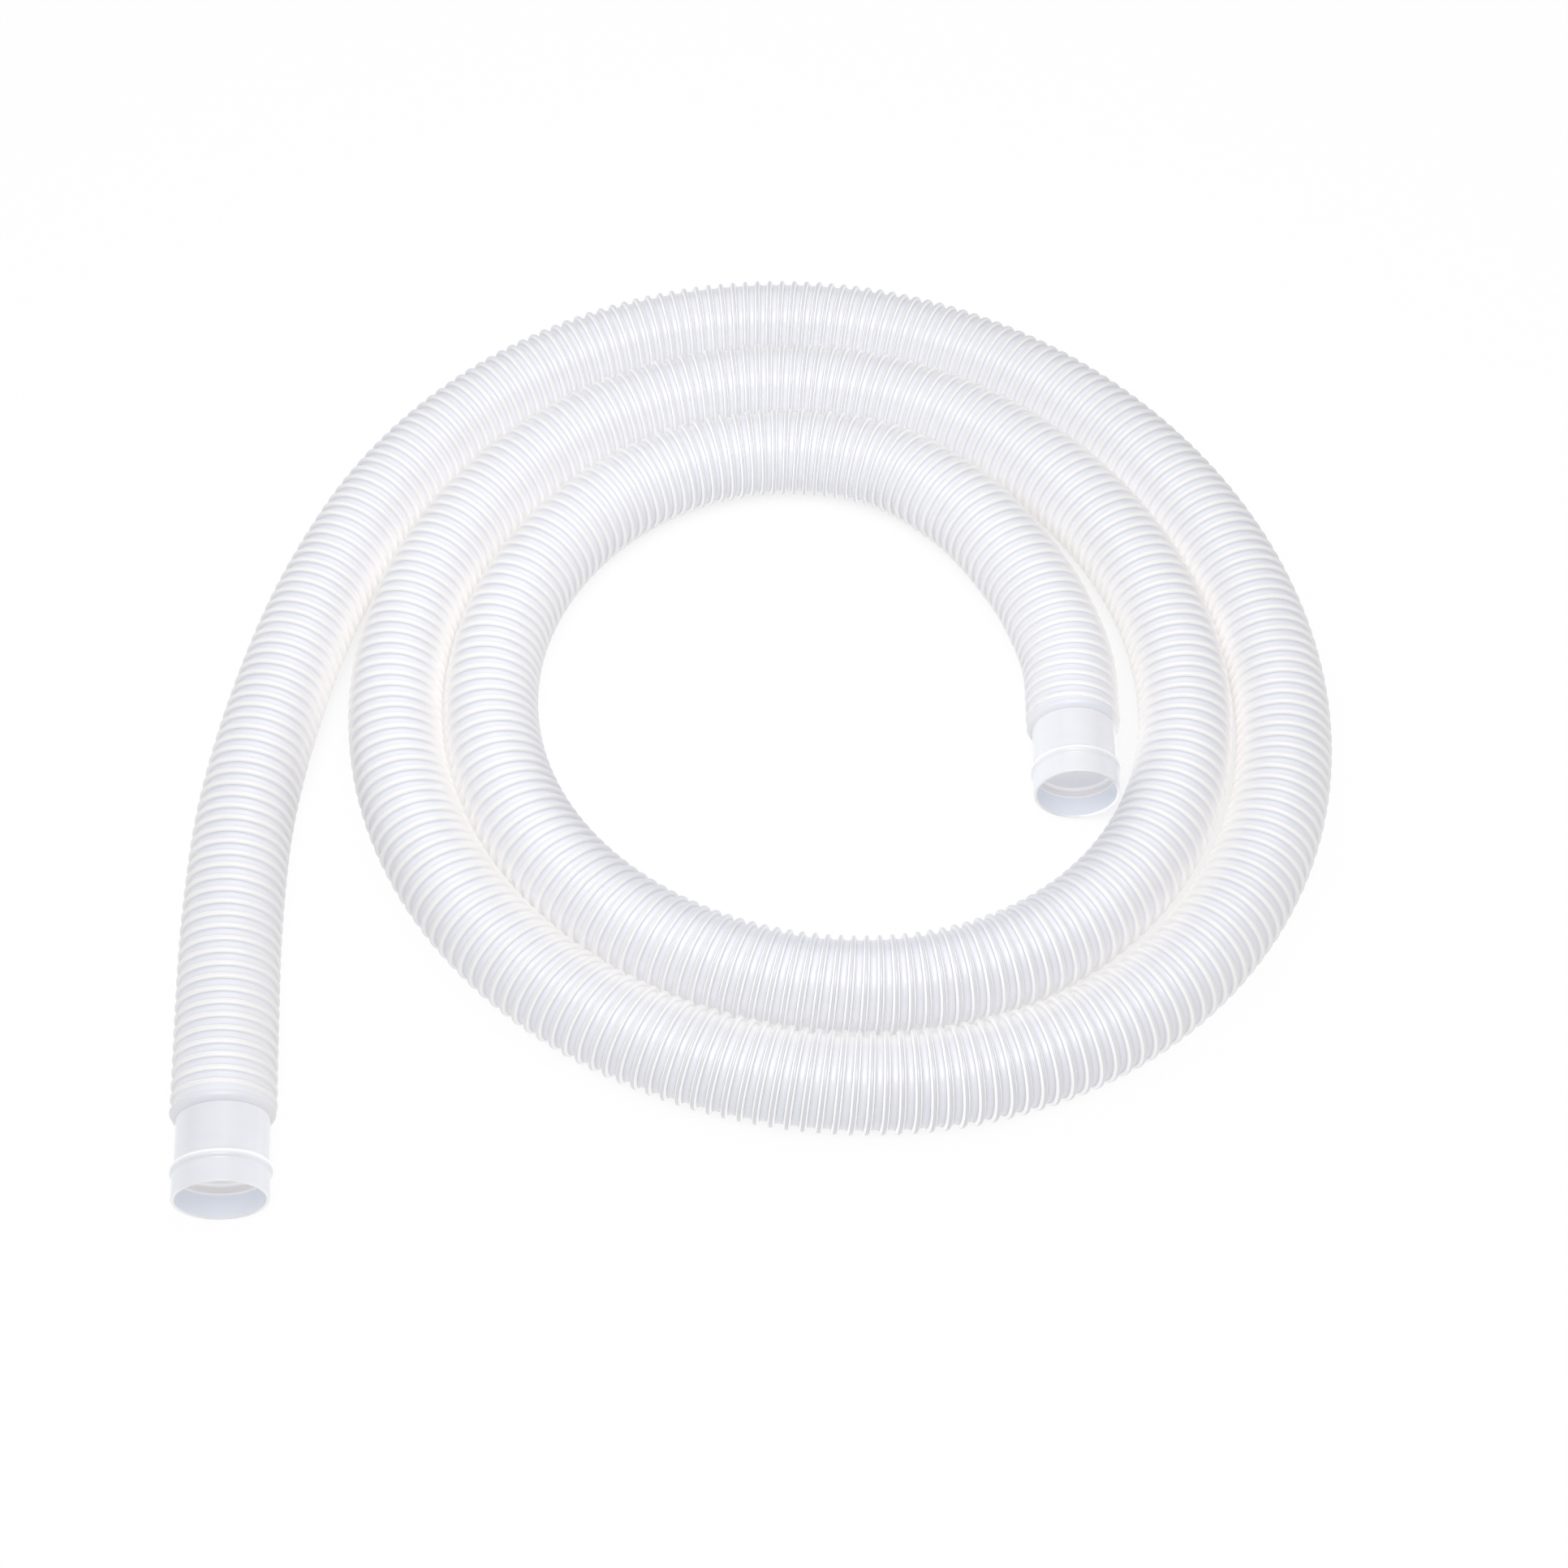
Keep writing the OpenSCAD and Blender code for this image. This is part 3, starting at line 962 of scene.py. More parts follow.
class Tree:
    """Small helper that adds and joins the nodes of a material or a group."""

    def __init__(self, tree: bpy.types.NodeTree) -> None:
        """Keeps the tree that the nodes go into."""
        self.tree = tree

    def add(self, kind: str, **values: object) -> bpy.types.Node:
        """Adds a node.

        Args:
            kind: Type of the node.
            values: Properties to set, by name.

        Returns:
            The node.
        """
        node = self.tree.nodes.new(kind)
        for name, value in values.items():
            setattr(node, name, value)
        return node

    def join(self, start: bpy.types.NodeSocket, end: bpy.types.NodeSocket) -> None:
        """Links an output to an input."""
        self.tree.links.new(start, end)

    def reading(self, name: str) -> bpy.types.NodeSocket:
        """The number that a piece's vertices store under a name."""
        return self.add("ShaderNodeAttribute", attribute_name=name).outputs["Fac"]

    def ramp(self, source: bpy.types.NodeSocket, stops: tuple) -> bpy.types.NodeSocket:
        """Colour ramp over a value.

        Args:
            source: The value.
            stops: Pairs of a place from 0 to 1 and a colour of three numbers.

        Returns:
            The colour output.
        """
        node = self.add("ShaderNodeValToRGB")
        elements = node.color_ramp.elements
        while len(elements) < len(stops):
            elements.new(1.0)
        for element, (place, colour) in zip(elements, stops):
            element.position = place
            element.color = (*colour, 1.0)
        self.join(source, node.inputs["Fac"])
        return node.outputs["Color"]

    def math(self, operation: str, first: object, second: object = 0.0) -> bpy.types.NodeSocket:
        """Sum on two values.

        Args:
            operation: Name of the sum.
            first: A socket or a number.
            second: A socket or a number.

        Returns:
            The output.
        """
        node = self.add("ShaderNodeMath", operation=operation)
        for socket, value in zip(node.inputs, (first, second)):
            if isinstance(value, (int, float)):
                socket.default_value = value
            else:
                self.join(value, socket)
        return node.outputs["Value"]

    def mix(
        self, share: bpy.types.NodeSocket, first: object, second: object
    ) -> bpy.types.NodeSocket:
        """Mixes two colours.

        Args:
            share: Share of the second colour.
            first: A socket or three numbers.
            second: A socket or three numbers.

        Returns:
            The colour output.
        """
        node = self.add("ShaderNodeMix", data_type="RGBA", blend_type="MIX")
        ends = [node.inputs[0], node.inputs[6], node.inputs[7]]
        for socket, value in zip(ends, (share, first, second)):
            if isinstance(value, tuple):
                socket.default_value = (*value, 1.0)
            else:
                self.join(value, socket)
        return node.outputs[2]

    def scale(
        self, colour: bpy.types.NodeSocket, factor: bpy.types.NodeSocket
    ) -> bpy.types.NodeSocket:
        """Multiplies a colour by a value.

        Args:
            colour: The colour.
            factor: The value.

        Returns:
            The output.
        """
        node = self.add("ShaderNodeVectorMath", operation="SCALE")
        self.join(colour, node.inputs[0])
        self.join(factor, node.inputs["Scale"])
        return node.outputs["Vector"]

    def remap(
        self, source: bpy.types.NodeSocket, given: tuple = (0.0, 1.0), made: tuple = (0.0, 1.0)
    ) -> bpy.types.NodeSocket:
        """Carries a range of values over to another one, held at its ends.

        Args:
            source: The value.
            given: Ends of the range that it comes in.
            made: Ends of the range that it is carried to.

        Returns:
            The output.
        """
        node = self.add("ShaderNodeMapRange")
        for name, value in zip(("From Min", "From Max", "To Min", "To Max"), (*given, *made)):
            node.inputs[name].default_value = value
        self.join(source, node.inputs["Value"])
        return node.outputs["Result"]

    def noise(
        self, source: bpy.types.NodeSocket, scale: float, detail: float
    ) -> bpy.types.NodeSocket:
        """Noise over coordinates, from about -0.5 to 0.5.

        Args:
            source: The coordinates.
            scale: Scale of the noise.
            detail: Number of finer layers.

        Returns:
            The output.
        """
        node = self.add("ShaderNodeTexNoise")
        node.inputs["Scale"].default_value = scale
        node.inputs["Detail"].default_value = detail
        self.join(source, node.inputs["Vector"])
        return self.math("SUBTRACT", node.outputs["Fac"], 0.5)


@dataclass(frozen=True)
class MilkyCloud:
    """Uneven milkiness of the plastic, shared by the three finishes.

    Attributes:
        cloud_scale: Scale of the slow clouds.
        cloud_detail: Finer layers of the clouds.
        streak_scale: Scale of the streaks that follow the turns of the rib.
        fleck_scale: Scale of the fine flecks.
        fine_detail: Finer layers of the streaks and flecks.
        gloss_change: Change of the roughness with the clouds.
        fleck_height: Height of the flecks, as a share of the streaks' height.
    """

    cloud_scale: float = 38.0
    cloud_detail: float = 2.0
    streak_scale: float = 1.3
    fleck_scale: float = 900.0
    fine_detail: float = 1.0
    gloss_change: float = 0.12
    fleck_height: float = 0.25

    def group(self) -> bpy.types.NodeTree:
        """Makes the node group.

        Clouds, streaks and flecks shift a colour a little up and down. The clouds also vary the
        gloss, and the streaks and flecks give a height for a bump.

        Returns:
            The node group.
        """
        group = bpy.data.node_groups.new("milky_cloud", "ShaderNodeTree")
        face = group.interface
        face.new_socket("Colour", in_out="INPUT", socket_type="NodeSocketColor")
        face.new_socket("Lay", in_out="INPUT", socket_type="NodeSocketVector")
        for name in ("Clouds", "Streaks", "Flecks", "Roughness"):
            face.new_socket(name, in_out="INPUT", socket_type="NodeSocketFloat")
        face.new_socket("Colour", in_out="OUTPUT", socket_type="NodeSocketColor")
        face.new_socket("Roughness", in_out="OUTPUT", socket_type="NodeSocketFloat")
        face.new_socket("Height", in_out="OUTPUT", socket_type="NodeSocketFloat")
        tree = Tree(group)
        given = tree.add("NodeGroupInput").outputs
        made = tree.add("NodeGroupOutput").inputs
        where = tree.add("ShaderNodeTexCoord").outputs["Object"]
        cloud = tree.noise(where, self.cloud_scale, self.cloud_detail)
        streak = tree.noise(given["Lay"], self.streak_scale, self.fine_detail)
        fleck = tree.noise(where, self.fleck_scale, self.fine_detail)
        level = tree.math("MULTIPLY", cloud, given["Clouds"])
        level = tree.math("ADD", level, tree.math("MULTIPLY", streak, given["Streaks"]))
        level = tree.math("ADD", level, tree.math("MULTIPLY", fleck, given["Flecks"]))
        tree.join(tree.scale(given["Colour"], tree.math("ADD", level, 1.0)), made["Colour"])
        change = tree.math("MULTIPLY", cloud, self.gloss_change)
        tree.join(tree.math("ADD", given["Roughness"], change), made["Roughness"])
        fine = tree.math("MULTIPLY", fleck, self.fleck_height)
        tree.join(tree.math("ADD", streak, fine), made["Height"])
        return group


@dataclass(frozen=True)
class MilkyFinish:
    """Milky polyethylene: what the finishes of the hose, the collars and the cuffs share.

    Attributes:
        name: Name of the material.
        roughness: Roughness of the surface.
        clouds: Strength of the slow clouds.
        streaks: Strength of the streaks along the rib.
        flecks: Strength of the fine flecks.
        bump: Strength of the bump.
        glow: Strength of the painted glow, which stands in for light that the wall carries.
        bump_depth: Depth of the bump.
        ior: Index of refraction of the plastic.
        least_coat: Weight of the sheen where the hose runs lengthwise.
        coat_roughness: Roughness of the sheen.
        coat_ior: Index of refraction of the sheen.
    """

    name: str
    roughness: float
    clouds: float
    streaks: float
    flecks: float
    bump: float
    glow: float
    bump_depth: float = 0.0003
    ior: float = 1.5
    least_coat: float = 0.35
    coat_roughness: float = 0.30
    coat_ior: float = 1.7

    def colour(self, tree: Tree) -> bpy.types.NodeSocket:
        """Adds the nodes of the colour and gives their output."""
        raise NotImplementedError

    def glow_share(self, tree: Tree) -> bpy.types.NodeSocket:
        """Adds the nodes of the share of the glow and gives their output."""
        raise NotImplementedError

    def dress(self, cloud: bpy.types.NodeTree) -> bpy.types.Material:
        """Makes the material.

        A weak emission of the surface's own colour is painted light, standing in for the light that
        the milky wall carries in from its neighbours.

        Args:
            cloud: The group for the uneven milkiness.

        Returns:
            The new material.
        """
        material = bpy.data.materials.new(self.name)
        material.use_nodes = True
        tree = Tree(material.node_tree)
        shader = material.node_tree.nodes["Principled BSDF"].inputs
        group = tree.add("ShaderNodeGroup", node_tree=cloud)
        group.inputs["Clouds"].default_value = self.clouds
        group.inputs["Streaks"].default_value = self.streaks
        group.inputs["Flecks"].default_value = self.flecks
        group.inputs["Roughness"].default_value = self.roughness
        lay = tree.add("ShaderNodeAttribute", attribute_name="lay")
        tree.join(lay.outputs["Vector"], group.inputs["Lay"])
        tree.join(self.colour(tree), group.inputs["Colour"])
        tree.join(group.outputs["Colour"], shader["Base Color"])
        tree.join(group.outputs["Roughness"], shader["Roughness"])
        shader["IOR"].default_value = self.ior
        coat = tree.math("MULTIPLY", tree.reading("crosswise"), 1.0 - self.least_coat)
        tree.join(tree.math("ADD", coat, self.least_coat), shader["Coat Weight"])
        shader["Coat Roughness"].default_value = self.coat_roughness
        shader["Coat IOR"].default_value = self.coat_ior
        # Painted glow: emission in the surface's own colour
        painted_glow = tree.scale(group.outputs["Colour"], self.glow_share(tree))
        tree.join(painted_glow, shader["Emission Color"])
        shader["Emission Strength"].default_value = self.glow
        bump = tree.add("ShaderNodeBump")
        bump.inputs["Strength"].default_value = self.bump
        bump.inputs["Distance"].default_value = self.bump_depth
        tree.join(group.outputs["Height"], bump.inputs["Height"])
        tree.join(bump.outputs["Normal"], shader["Normal"])
        return material


@dataclass(frozen=True)
class RibFinish(MilkyFinish):
    """Finish of the ribbed tube and of the collars: bands that follow the rib, with painted light
    and shade in them.

    The stops of the bands are shares of the way from the crest to the middle of the valley.

    Attributes:
        lengthwise: Bands where the hose runs lengthwise: a pale crest and a white flank that are
            painted highlights, a thin dark root that is painted shade, and bluish valley.
        crosswise: Bands where it runs crosswise: a crest painted grey as painted shade, white flanks
            that are painted highlights, a dark root that is painted shade, and bluish valley.
        side: Painted light: the pale colour that the bands fade to at the sides of a lengthwise run.
        side_share: How far they fade.
        back: Painted shade: grey of an open back.
        back_share: How far the bands turn grey there.
        cream: Painted light: cream beside another loop.
        cream_share: How far the bands turn cream there.
        flank: Stops between which the flank of a crosswise run has a painted glow.
        flank_glow: Share of the painted glow on that flank.
    """

    # Pale crest and white flank are painted highlights, the dark stop at 0.44 is painted shade
    lengthwise: tuple = (
        (0.00, (0.87, 0.855, 0.85)),
        (0.14, (0.88, 0.865, 0.86)),
        (0.21, (0.97, 0.965, 0.96)),
        (0.30, (0.97, 0.965, 0.96)),
        (0.36, (0.90, 0.89, 0.89)),
        (0.41, (0.89, 0.88, 0.885)),
        (0.44, (0.62, 0.63, 0.69)),
        (0.475, (0.755, 0.77, 0.825)),
        (1.00, (0.80, 0.812, 0.862)),
    )
    # Grey crest and the dark stop at 0.50 are painted shade, the white flank is a painted highlight
    crosswise: tuple = (
        (0.00, (0.69, 0.69, 0.735)),
        (0.15, (0.68, 0.68, 0.725)),
        (0.20, (0.60, 0.60, 0.64)),
        (0.26, (0.975, 0.973, 0.975)),
        (0.44, (0.975, 0.973, 0.97)),
        (0.50, (0.50, 0.505, 0.55)),
        (0.56, (0.75, 0.76, 0.815)),
        (1.00, (0.815, 0.822, 0.87)),
    )
    side: tuple = (0.85, 0.84, 0.85)
    side_share: float = 0.6
    back: tuple = (0.62, 0.63, 0.69)
    back_share: float = 0.6
    cream: tuple = (0.955, 0.94, 0.92)
    cream_share: float = 0.68
    flank: tuple = (0.20, 0.27, 0.43, 0.49)
    flank_glow: float = 0.95

    def to_valley(self, tree: Tree) -> bpy.types.NodeSocket:
        """Share of the way from the crest of the rib to the middle of the valley."""
        return tree.math("MULTIPLY", tree.reading("from_rib"), 2.0)

    def colour(self, tree: Tree) -> bpy.types.NodeSocket:
        """Bands of the rib, which painted light pales at the sides, painted shade greys on an open
        back and painted light turns cream beside another loop.

        Args:
            tree: Tree that the nodes go into.

        Returns:
            The colour output.
        """
        share = self.to_valley(tree)
        # The bands hold painted highlights and painted shade; the crosswise mark picks the
        # grey-crested ones
        lengthwise = tree.ramp(share, self.lengthwise)
        crosswise = tree.ramp(share, self.crosswise)
        bands = tree.mix(tree.reading("crosswise"), lengthwise, crosswise)
        # Painted light on the sides, painted shade on an open back, painted cream light beside a
        # loop
        fades = (
            ("side_painted_light", self.side_share, self.side),
            ("open_back_painted_shade", self.back_share, self.back),
            ("cream_painted_light", self.cream_share, self.cream),
        )
        for name, most, colour in fades:
            bands = tree.mix(tree.math("MULTIPLY", tree.reading(name), most), bands, colour)
        return bands

    def glow_share(self, tree: Tree) -> bpy.types.NodeSocket:
        """Share of the painted glow: beside another loop, and on the flanks of a crosswise run.

        Args:
            tree: Tree that the nodes go into.

        Returns:
            The output.
        """
        dark, light = (0.0, 0.0, 0.0), (self.flank_glow,) * 3
        stops = tuple(zip(self.flank, (dark, light, light, dark)))
        flank = tree.ramp(self.to_valley(tree), stops)
        flank = tree.math("MULTIPLY", flank, tree.reading("crosswise"))
        return tree.math("MAXIMUM", flank, tree.reading("painted_glow"))


@dataclass(frozen=True)
class CuffFinish(MilkyFinish):
    """Finish of the cuffs: bluish milk, with painted highlights on the rim and bead, and by the
    groove painted highlights with a line of brownish painted light between them.

    Attributes:
        milk: Colours by the distance from the rim: the outside in the first half of the ramp, and
            the inside in the second.
        pale_painted_light: Painted light: the paler colour of the outside of the cuff inside the
            coil.
        pale_share: How far it turns pale.
        side_glow: Share of the painted glow on the sides.
        rim_glow: Share of the painted glow inside the cuff, at the rim.
        deep_glow: Share of the painted glow deep inside the cuff.
        deep: Distance inside the rim at which that is reached, in millimetres.
        rim_edge: Distance inside the rim at which the inner painted glow starts, in millimetres.
    """

    # Pale stops at the rim, bead and groove are painted highlights; the brownish groove stops are
    # painted light
    milk: tuple = (
        (0.000, (0.88, 0.88, 0.89)),
        (0.004, (0.77, 0.78, 0.82)),
        (0.092, (0.76, 0.775, 0.815)),
        (0.097, (0.94, 0.94, 0.94)),
        (0.103, (0.96, 0.96, 0.96)),
        (0.112, (0.76, 0.77, 0.815)),
        (0.330, (0.76, 0.765, 0.805)),
        (0.500, (0.85, 0.85, 0.87)),
        (0.506, (0.72, 0.75, 0.805)),
        (0.575, (0.70, 0.73, 0.785)),
        (0.583, (0.95, 0.94, 0.92)),
        (0.590, (0.72, 0.70, 0.70)),
        (0.606, (0.72, 0.71, 0.72)),
        (0.612, (0.93, 0.92, 0.90)),
        (0.620, (0.72, 0.72, 0.745)),
        (1.000, (0.74, 0.74, 0.76)),
    )
    pale_painted_light: tuple = (0.88, 0.885, 0.90)
    pale_share: float = 0.2
    side_glow: float = 0.28
    rim_glow: float = 0.3
    deep_glow: float = 1.0
    deep: float = 30.0
    rim_edge: float = 0.3

    def colour(self, tree: Tree) -> bpy.types.NodeSocket:
        """Milk by the distance from the rim, with painted light that makes the outside of the cuff
        inside the coil paler.

        Args:
            tree: Tree that the nodes go into.

        Returns:
            The colour output.
        """
        share = tree.math("DIVIDE", tree.reading("from_rim"), 2 * INSIDE_FROM)
        paler = tree.math("MULTIPLY", tree.reading("pale_painted_light"), self.pale_share)
        return tree.mix(paler, tree.ramp(share, self.milk), self.pale_painted_light)

    def glow_share(self, tree: Tree) -> bpy.types.NodeSocket:
        """Share of the painted glow: a little inside the cuff and on its sides, and more beside a
        loop.

        Args:
            tree: Tree that the nodes go into.

        Returns:
            The output.
        """
        rim = tree.reading("from_rim")
        depth = tree.remap(
            rim, (INSIDE_FROM, INSIDE_FROM + self.deep), (self.rim_glow, self.deep_glow)
        )
        within = tree.math("GREATER_THAN", rim, INSIDE_FROM + self.rim_edge)
        inside = tree.math("MULTIPLY", depth, within)
        sides = tree.math("MULTIPLY", tree.reading("side_painted_light"), self.side_glow)
        outside = tree.math("LESS_THAN", rim, INSIDE_FROM)
        beside = tree.math("MULTIPLY", tree.reading("painted_glow"), outside)
        # Painted glow inside the cuff, on its sides and beside a loop
        return tree.math("MAXIMUM", tree.math("MAXIMUM", inside, sides), beside)


@dataclass
class Studio:
    """White floor, soft white surroundings, two softboxes and the camera of the photograph.

    Attributes:
        floor_size: Side of the floor.
        floor_drop: Depth of the floor under the hose.
        floor_colour: Colour of the floor where it bounces light.
        shade_reach: Distance over which the hose shades the floor.
        shade_over: Share of open sky at which the floor is at its whitest.
        shade: How white the floor looks where it is shaded most, and where it is open.
        sky: Strength of the surroundings.
        left_tint: Colour of the surroundings on the left.
        right_tint: Colour of the surroundings on the right.
        front_away: Distance of the front softbox.
        front_high: Angle of the front softbox above the floor.
        front_size: Width and depth of the front softbox.
        front_power: Power of the front softbox, in watts.
        fill_at: Place of the fill softbox.
        fill_size: Width and depth of the fill softbox.
        fill_power: Power of the fill softbox, in watts.
        lens: Focal length, in millimetres.
        sensor: Width of the camera's sensor, in millimetres.
        clip_start: Distance at which the camera starts to see.
        camera_at: Place of the camera.
        camera_down: Angle at which the camera looks down.
    """

    floor_size: float = 14.0
    floor_drop: float = 0.0002
    floor_colour: tuple = (0.95, 0.95, 0.95)
    shade_reach: float = 0.03
    shade_over: float = 0.4
    shade: tuple = (0.62, 0.96)
    sky: float = 0.665
    left_tint: tuple = (1.04, 1.04, 1.06)
    right_tint: tuple = (0.90, 0.89, 0.88)
    front_away: float = 1.3
    front_high: float = 72.0
    front_size: tuple = (0.8, 0.5)
    front_power: float = 5.2
    fill_at: tuple = (-0.05, 0.03, 0.42)
    fill_size: tuple = (0.3, 0.3)
    fill_power: float = 0.46
    lens: float = 50.0
    sensor: float = 36.0
    clip_start: float = 0.01
    camera_at: tuple = (0.00497, -0.56237, 0.77704)
    camera_down: float = 56.0

    def build(self) -> None:
        """Makes the floor, the surroundings, the lamps and the camera."""
        self.floor()
        self.world()
        high = math.radians(self.front_high)
        place = (0.0, -self.front_away * math.cos(high), self.front_away * math.sin(high))
        tilt = 90.0 - self.front_high
        self.softbox("front_softbox", place, tilt, self.front_size, self.front_power)
        fill = self.softbox("fill_softbox", self.fill_at, 0.0, self.fill_size, self.fill_power)
        fill.visible_glossy = False
        self.camera()

    def floor(self) -> None:
        """White floor that keeps a light shadow of the hose, and is dark between its loops."""
        half = self.floor_size / 2
        corners = np.array([[-half, -half], [half, -half], [half, half], [-half, half]])
        verts = np.hstack([corners, np.full((4, 1), -self.floor_drop)])
        floor = make_piece("floor", verts, np.array([[0, 1, 2, 3]]))
        material = bpy.data.materials.new("white_floor")
        material.use_nodes = True
        tree = Tree(material.node_tree)
        nodes = material.node_tree.nodes
        nodes.remove(nodes["Principled BSDF"])
        matt = tree.add("ShaderNodeBsdfDiffuse")
        matt.inputs["Color"].default_value = (*self.floor_colour, 1.0)
        white = tree.add("ShaderNodeEmission")
        white.inputs["Strength"].default_value = 1.0
        seen = tree.add("ShaderNodeLightPath")
        direct = tree.math("MAXIMUM", seen.outputs["Is Camera Ray"], seen.outputs["Is Glossy Ray"])
        direct = tree.math("MAXIMUM", direct, seen.outputs["Is Transmission Ray"])
        open_sky = tree.add("ShaderNodeAmbientOcclusion")
        open_sky.inputs["Distance"].default_value = self.shade_reach
        lit = tree.remap(open_sky.outputs["AO"], (0.0, self.shade_over), self.shade)
        blend = tree.add("ShaderNodeMixShader")
        tree.join(tree.math("MULTIPLY", direct, lit), blend.inputs["Fac"])
        tree.join(matt.outputs["BSDF"], blend.inputs[1])
        tree.join(white.outputs["Emission"], blend.inputs[2])
        tree.join(blend.outputs["Shader"], nodes["Material Output"].inputs["Surface"])
        floor.data.materials.append(material)

    def world(self) -> None:
        """White surroundings, a little dimmer and warmer on the right. The camera sees white."""
        world = bpy.data.worlds.new("white_studio")
        bpy.context.scene.world = world
        world.use_nodes = True
        tree = Tree(world.node_tree)
        sky = world.node_tree.nodes["Background"]
        seen = tree.add("ShaderNodeLightPath").outputs["Is Camera Ray"]
        toward = tree.add("ShaderNodeSeparateXYZ")
        tree.join(tree.add("ShaderNodeTexCoord").outputs["Generated"], toward.inputs["Vector"])
        right = tree.remap(toward.outputs["X"], (-1.0, 1.0))
        tint = tree.mix(right, self.left_tint, self.right_tint)
        tree.join(tree.mix(seen, tint, (1.0, 1.0, 1.0)), sky.inputs["Color"])
        extra = tree.math("MULTIPLY", seen, 1.0 - self.sky)
        tree.join(tree.math("ADD", extra, self.sky), sky.inputs["Strength"])

    def softbox(
        self, name: str, place: tuple, tilt: float, size: tuple, power: float
    ) -> bpy.types.Object:
        """Rectangular softbox above the hose.

        Args:
            name: Name of the lamp.
            place: Middle of its face.
            tilt: Angle from facing straight down towards facing away from the camera.
            size: Width and depth.
            power: Power, in watts.

        Returns:
            The lamp.
        """
        light = bpy.data.lights.new(name, "AREA")
        light.shape = "RECTANGLE"
        light.size, light.size_y = size
        light.energy = power
        lamp = bpy.data.objects.new(name, light)
        lamp.location = place
        lamp.rotation_euler = (math.radians(tilt), 0.0, 0.0)
        lamp.visible_camera = False
        bpy.context.scene.collection.objects.link(lamp)
        return lamp

    def camera(self) -> None:
        """Camera at the photograph's place and angle."""
        lens = bpy.data.cameras.new("camera")
        lens.lens = self.lens
        lens.sensor_width = self.sensor
        lens.clip_start = self.clip_start
        lens.dof.use_dof = False
        camera = bpy.data.objects.new("camera", lens)
        camera.location = self.camera_at
        camera.rotation_euler = (math.radians(90.0 - self.camera_down), 0.0, 0.0)
        bpy.context.scene.collection.objects.link(camera)
        bpy.context.scene.camera = camera


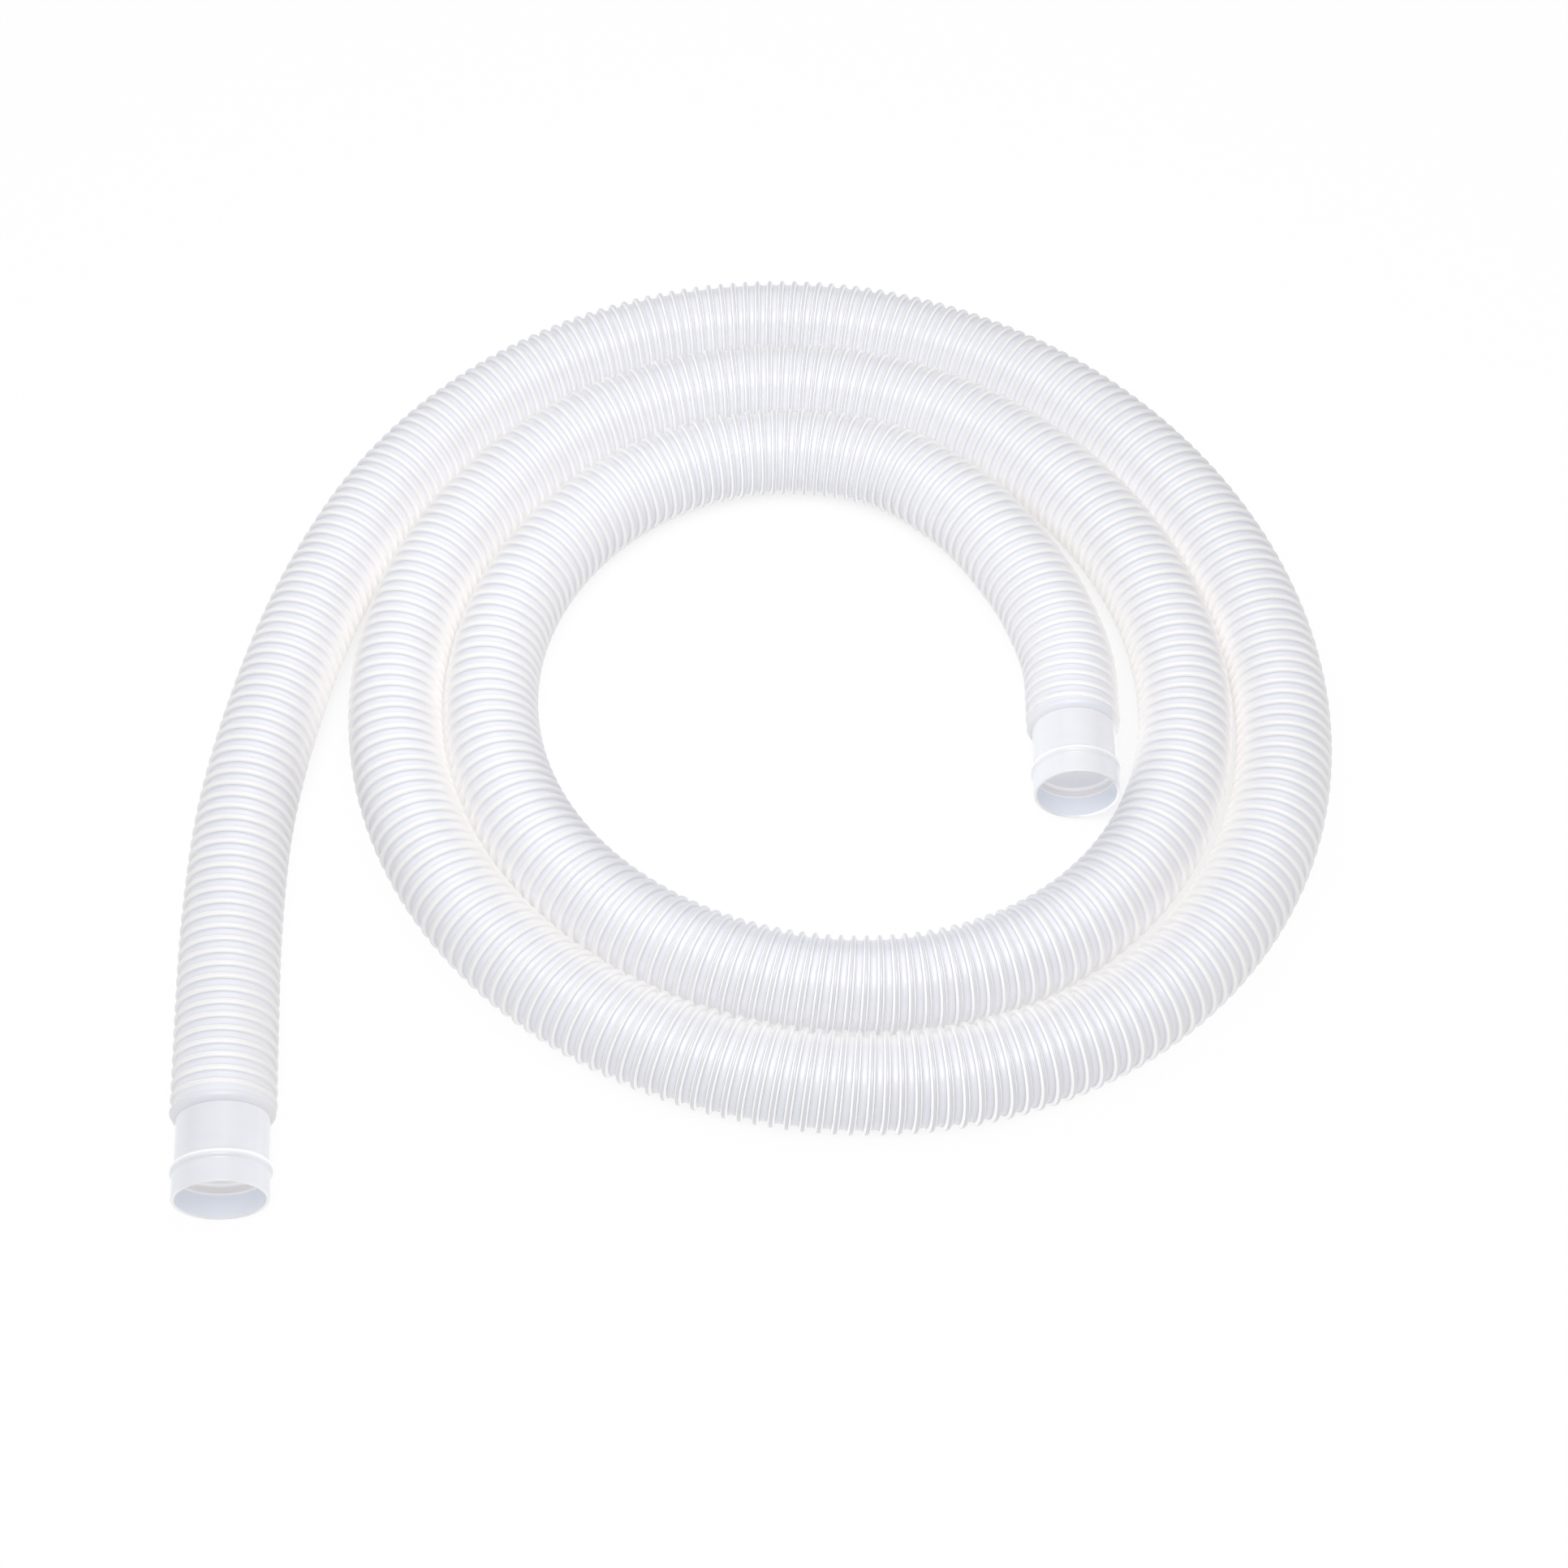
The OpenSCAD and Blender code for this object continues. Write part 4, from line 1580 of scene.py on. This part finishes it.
@dataclass
class Hose:
    """The whole hose: its stretches, collars and cuffs, dressed and set on their bodies.

    Attributes:
        line: Centre line of the hose.
        cuff: Sizes of the cuffs and collars.
        inner_reach: Length of the coil that the inner stretch takes up.
        coil_parts: Number of stretches that the rest of the coil is cut into.
        hose_finish: Material of the ribbed tube.
        collar_finish: Material of the collars.
        cuff_finish: Material of the cuffs.
    """

    line: HoseLine = field(default_factory=HoseLine)
    cuff: CuffShape = field(default_factory=CuffShape)
    inner_reach: float = 0.205
    coil_parts: int = 3
    hose_finish: bpy.types.Material = field(init=False)
    collar_finish: bpy.types.Material = field(init=False)
    cuff_finish: bpy.types.Material = field(init=False)

    def build(self) -> None:
        """Makes the three finishes and every piece."""
        cloud = MilkyCloud().group()
        self.hose_finish = RibFinish(
            name="milky_ribbed_hose",
            roughness=0.40,
            clouds=0.04,
            streaks=0.05,
            flecks=0.02,
            bump=0.10,
            glow=0.17,
        ).dress(cloud)
        self.collar_finish = RibFinish(
            name="milky_collar",
            roughness=0.40,
            clouds=0.04,
            streaks=0.05,
            flecks=0.02,
            bump=0.08,
            glow=0.17,
        ).dress(cloud)
        self.cuff_finish = CuffFinish(
            name="bluish_cuff",
            roughness=0.20,
            clouds=0.07,
            streaks=0.03,
            flecks=0.03,
            bump=0.06,
            glow=0.40,
        ).dress(cloud)
        line = self.line
        self.inner_run(self.fittings(End.INNER, Body.INNER, 0.0, line.inner_out))
        self.coil()
        self.outer_run(self.fittings(End.OUTER, Body.OUTER, line.length, line.outer_out))

    def finish(self, piece: bpy.types.Object, material: bpy.types.Material) -> None:
        """Gives a piece its material, and reports it.

        Args:
            piece: The piece.
            material: Its material.
        """
        piece.data.materials.append(material)
        LOG.info("%s: %d faces", piece.name, len(piece.data.polygons))

    def fittings(
        self, end: End, body: Body, run: float, out: np.ndarray
    ) -> list[bpy.types.Object]:
        """Makes the collar and the cuff of one end.

        Args:
            end: The end.
            body: Body that the pieces ride on.
            run: Distance along the hose of its end.
            out: Direction in which the mouth faces.

        Returns:
            The collar and the cuff.
        """
        name, shape = end.value, self.cuff
        collar = RibbedCollar(
            f"{name}_collar_band", self.line, run, out, shape.collar_section()
        ).build()
        shell = TurnedPiece(
            f"{name}_cuff_shell", self.line, run, out, shape.cuff_section(), oval=shape.oval
        )
        cuff = shell.build()
        from_rim = np.repeat(shape.from_rim(shell.section), shell.sides)
        outside = from_rim < INSIDE_FROM
        mark(cuff, "from_rim", from_rim)
        # Painted light: the outside of the cuff inside the coil turns paler
        mark(cuff, "pale_painted_light", outside * float(end is End.INNER))
        _, _, turn = shell.grid()
        # Painted light on the sides of the cuff's outside only
        sideways = np.where(outside, np.cos(turn).ravel(), 0.0)
        mark_lie(cuff, np.full(turn.size, out[0]), sideways)
        self.finish(collar, self.collar_finish)
        self.finish(cuff, self.cuff_finish)
        for piece, node in ((collar, f"{name}_collar"), (cuff, f"{name}_cuff")):
            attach(piece, body.value)
            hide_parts(node)
        return [collar, cuff]

    def inner_run(self, fittings: list[bpy.types.Object]) -> None:
        """Start of the coil and the end inside it, which bends towards the middle.

        Args:
            fittings: Collar and cuff of this end; not used.
        """
        line = self.line
        stretch = RibbedStretch("hose_inner_run", line, 0.0, line.coil_start + self.inner_reach)
        piece = stretch.build()
        self.finish(piece, self.hose_finish)
        line.knot(line.inner_knots[0])
        line.knot(line.inner_knots[line.inner_bend_knot])
        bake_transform(piece)
        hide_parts("hose_inner_bend", "hose_inner_tail")
        stretch.declare()

    def coil(self) -> None:
        """The rest of the coil, in stretches of equal length."""
        line = self.line
        stops = np.linspace(line.coil_start + self.inner_reach, line.coil_end, self.coil_parts + 1)
        for number, (start, end) in enumerate(zip(stops[:-1], stops[1:]), start=1):
            stretch = RibbedStretch(f"hose_coil_{number}", line, float(start), float(end))
            piece = stretch.build()
            self.finish(piece, self.hose_finish)
            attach(piece, Body.COIL.value)
            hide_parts("hose_coil")
            stretch.declare()

    def outer_run(self, fittings: list[bpy.types.Object]) -> None:
        """The loose end outside the coil, which bends beside it.

        Args:
            fittings: Collar and cuff of this end; not used.
        """
        line = self.line
        stretch = RibbedStretch("hose_outer_run", line, line.coil_end, line.length)
        piece = stretch.build()
        self.finish(piece, self.hose_finish)
        line.knot(line.outer_knots[0])
        line.knot(line.outer_knots[line.outer_bend_knot])
        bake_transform(piece)
        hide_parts("hose_outer_bend", "hose_outer_tail")
        stretch.declare()


def main() -> None:
    """Builds the hose and the studio."""
    logging.basicConfig(level=logging.INFO)
    bpy.context.scene.view_settings.view_transform = "Standard"
    Hose().build()
    Studio().build()


if __name__ == "__main__":
    main()
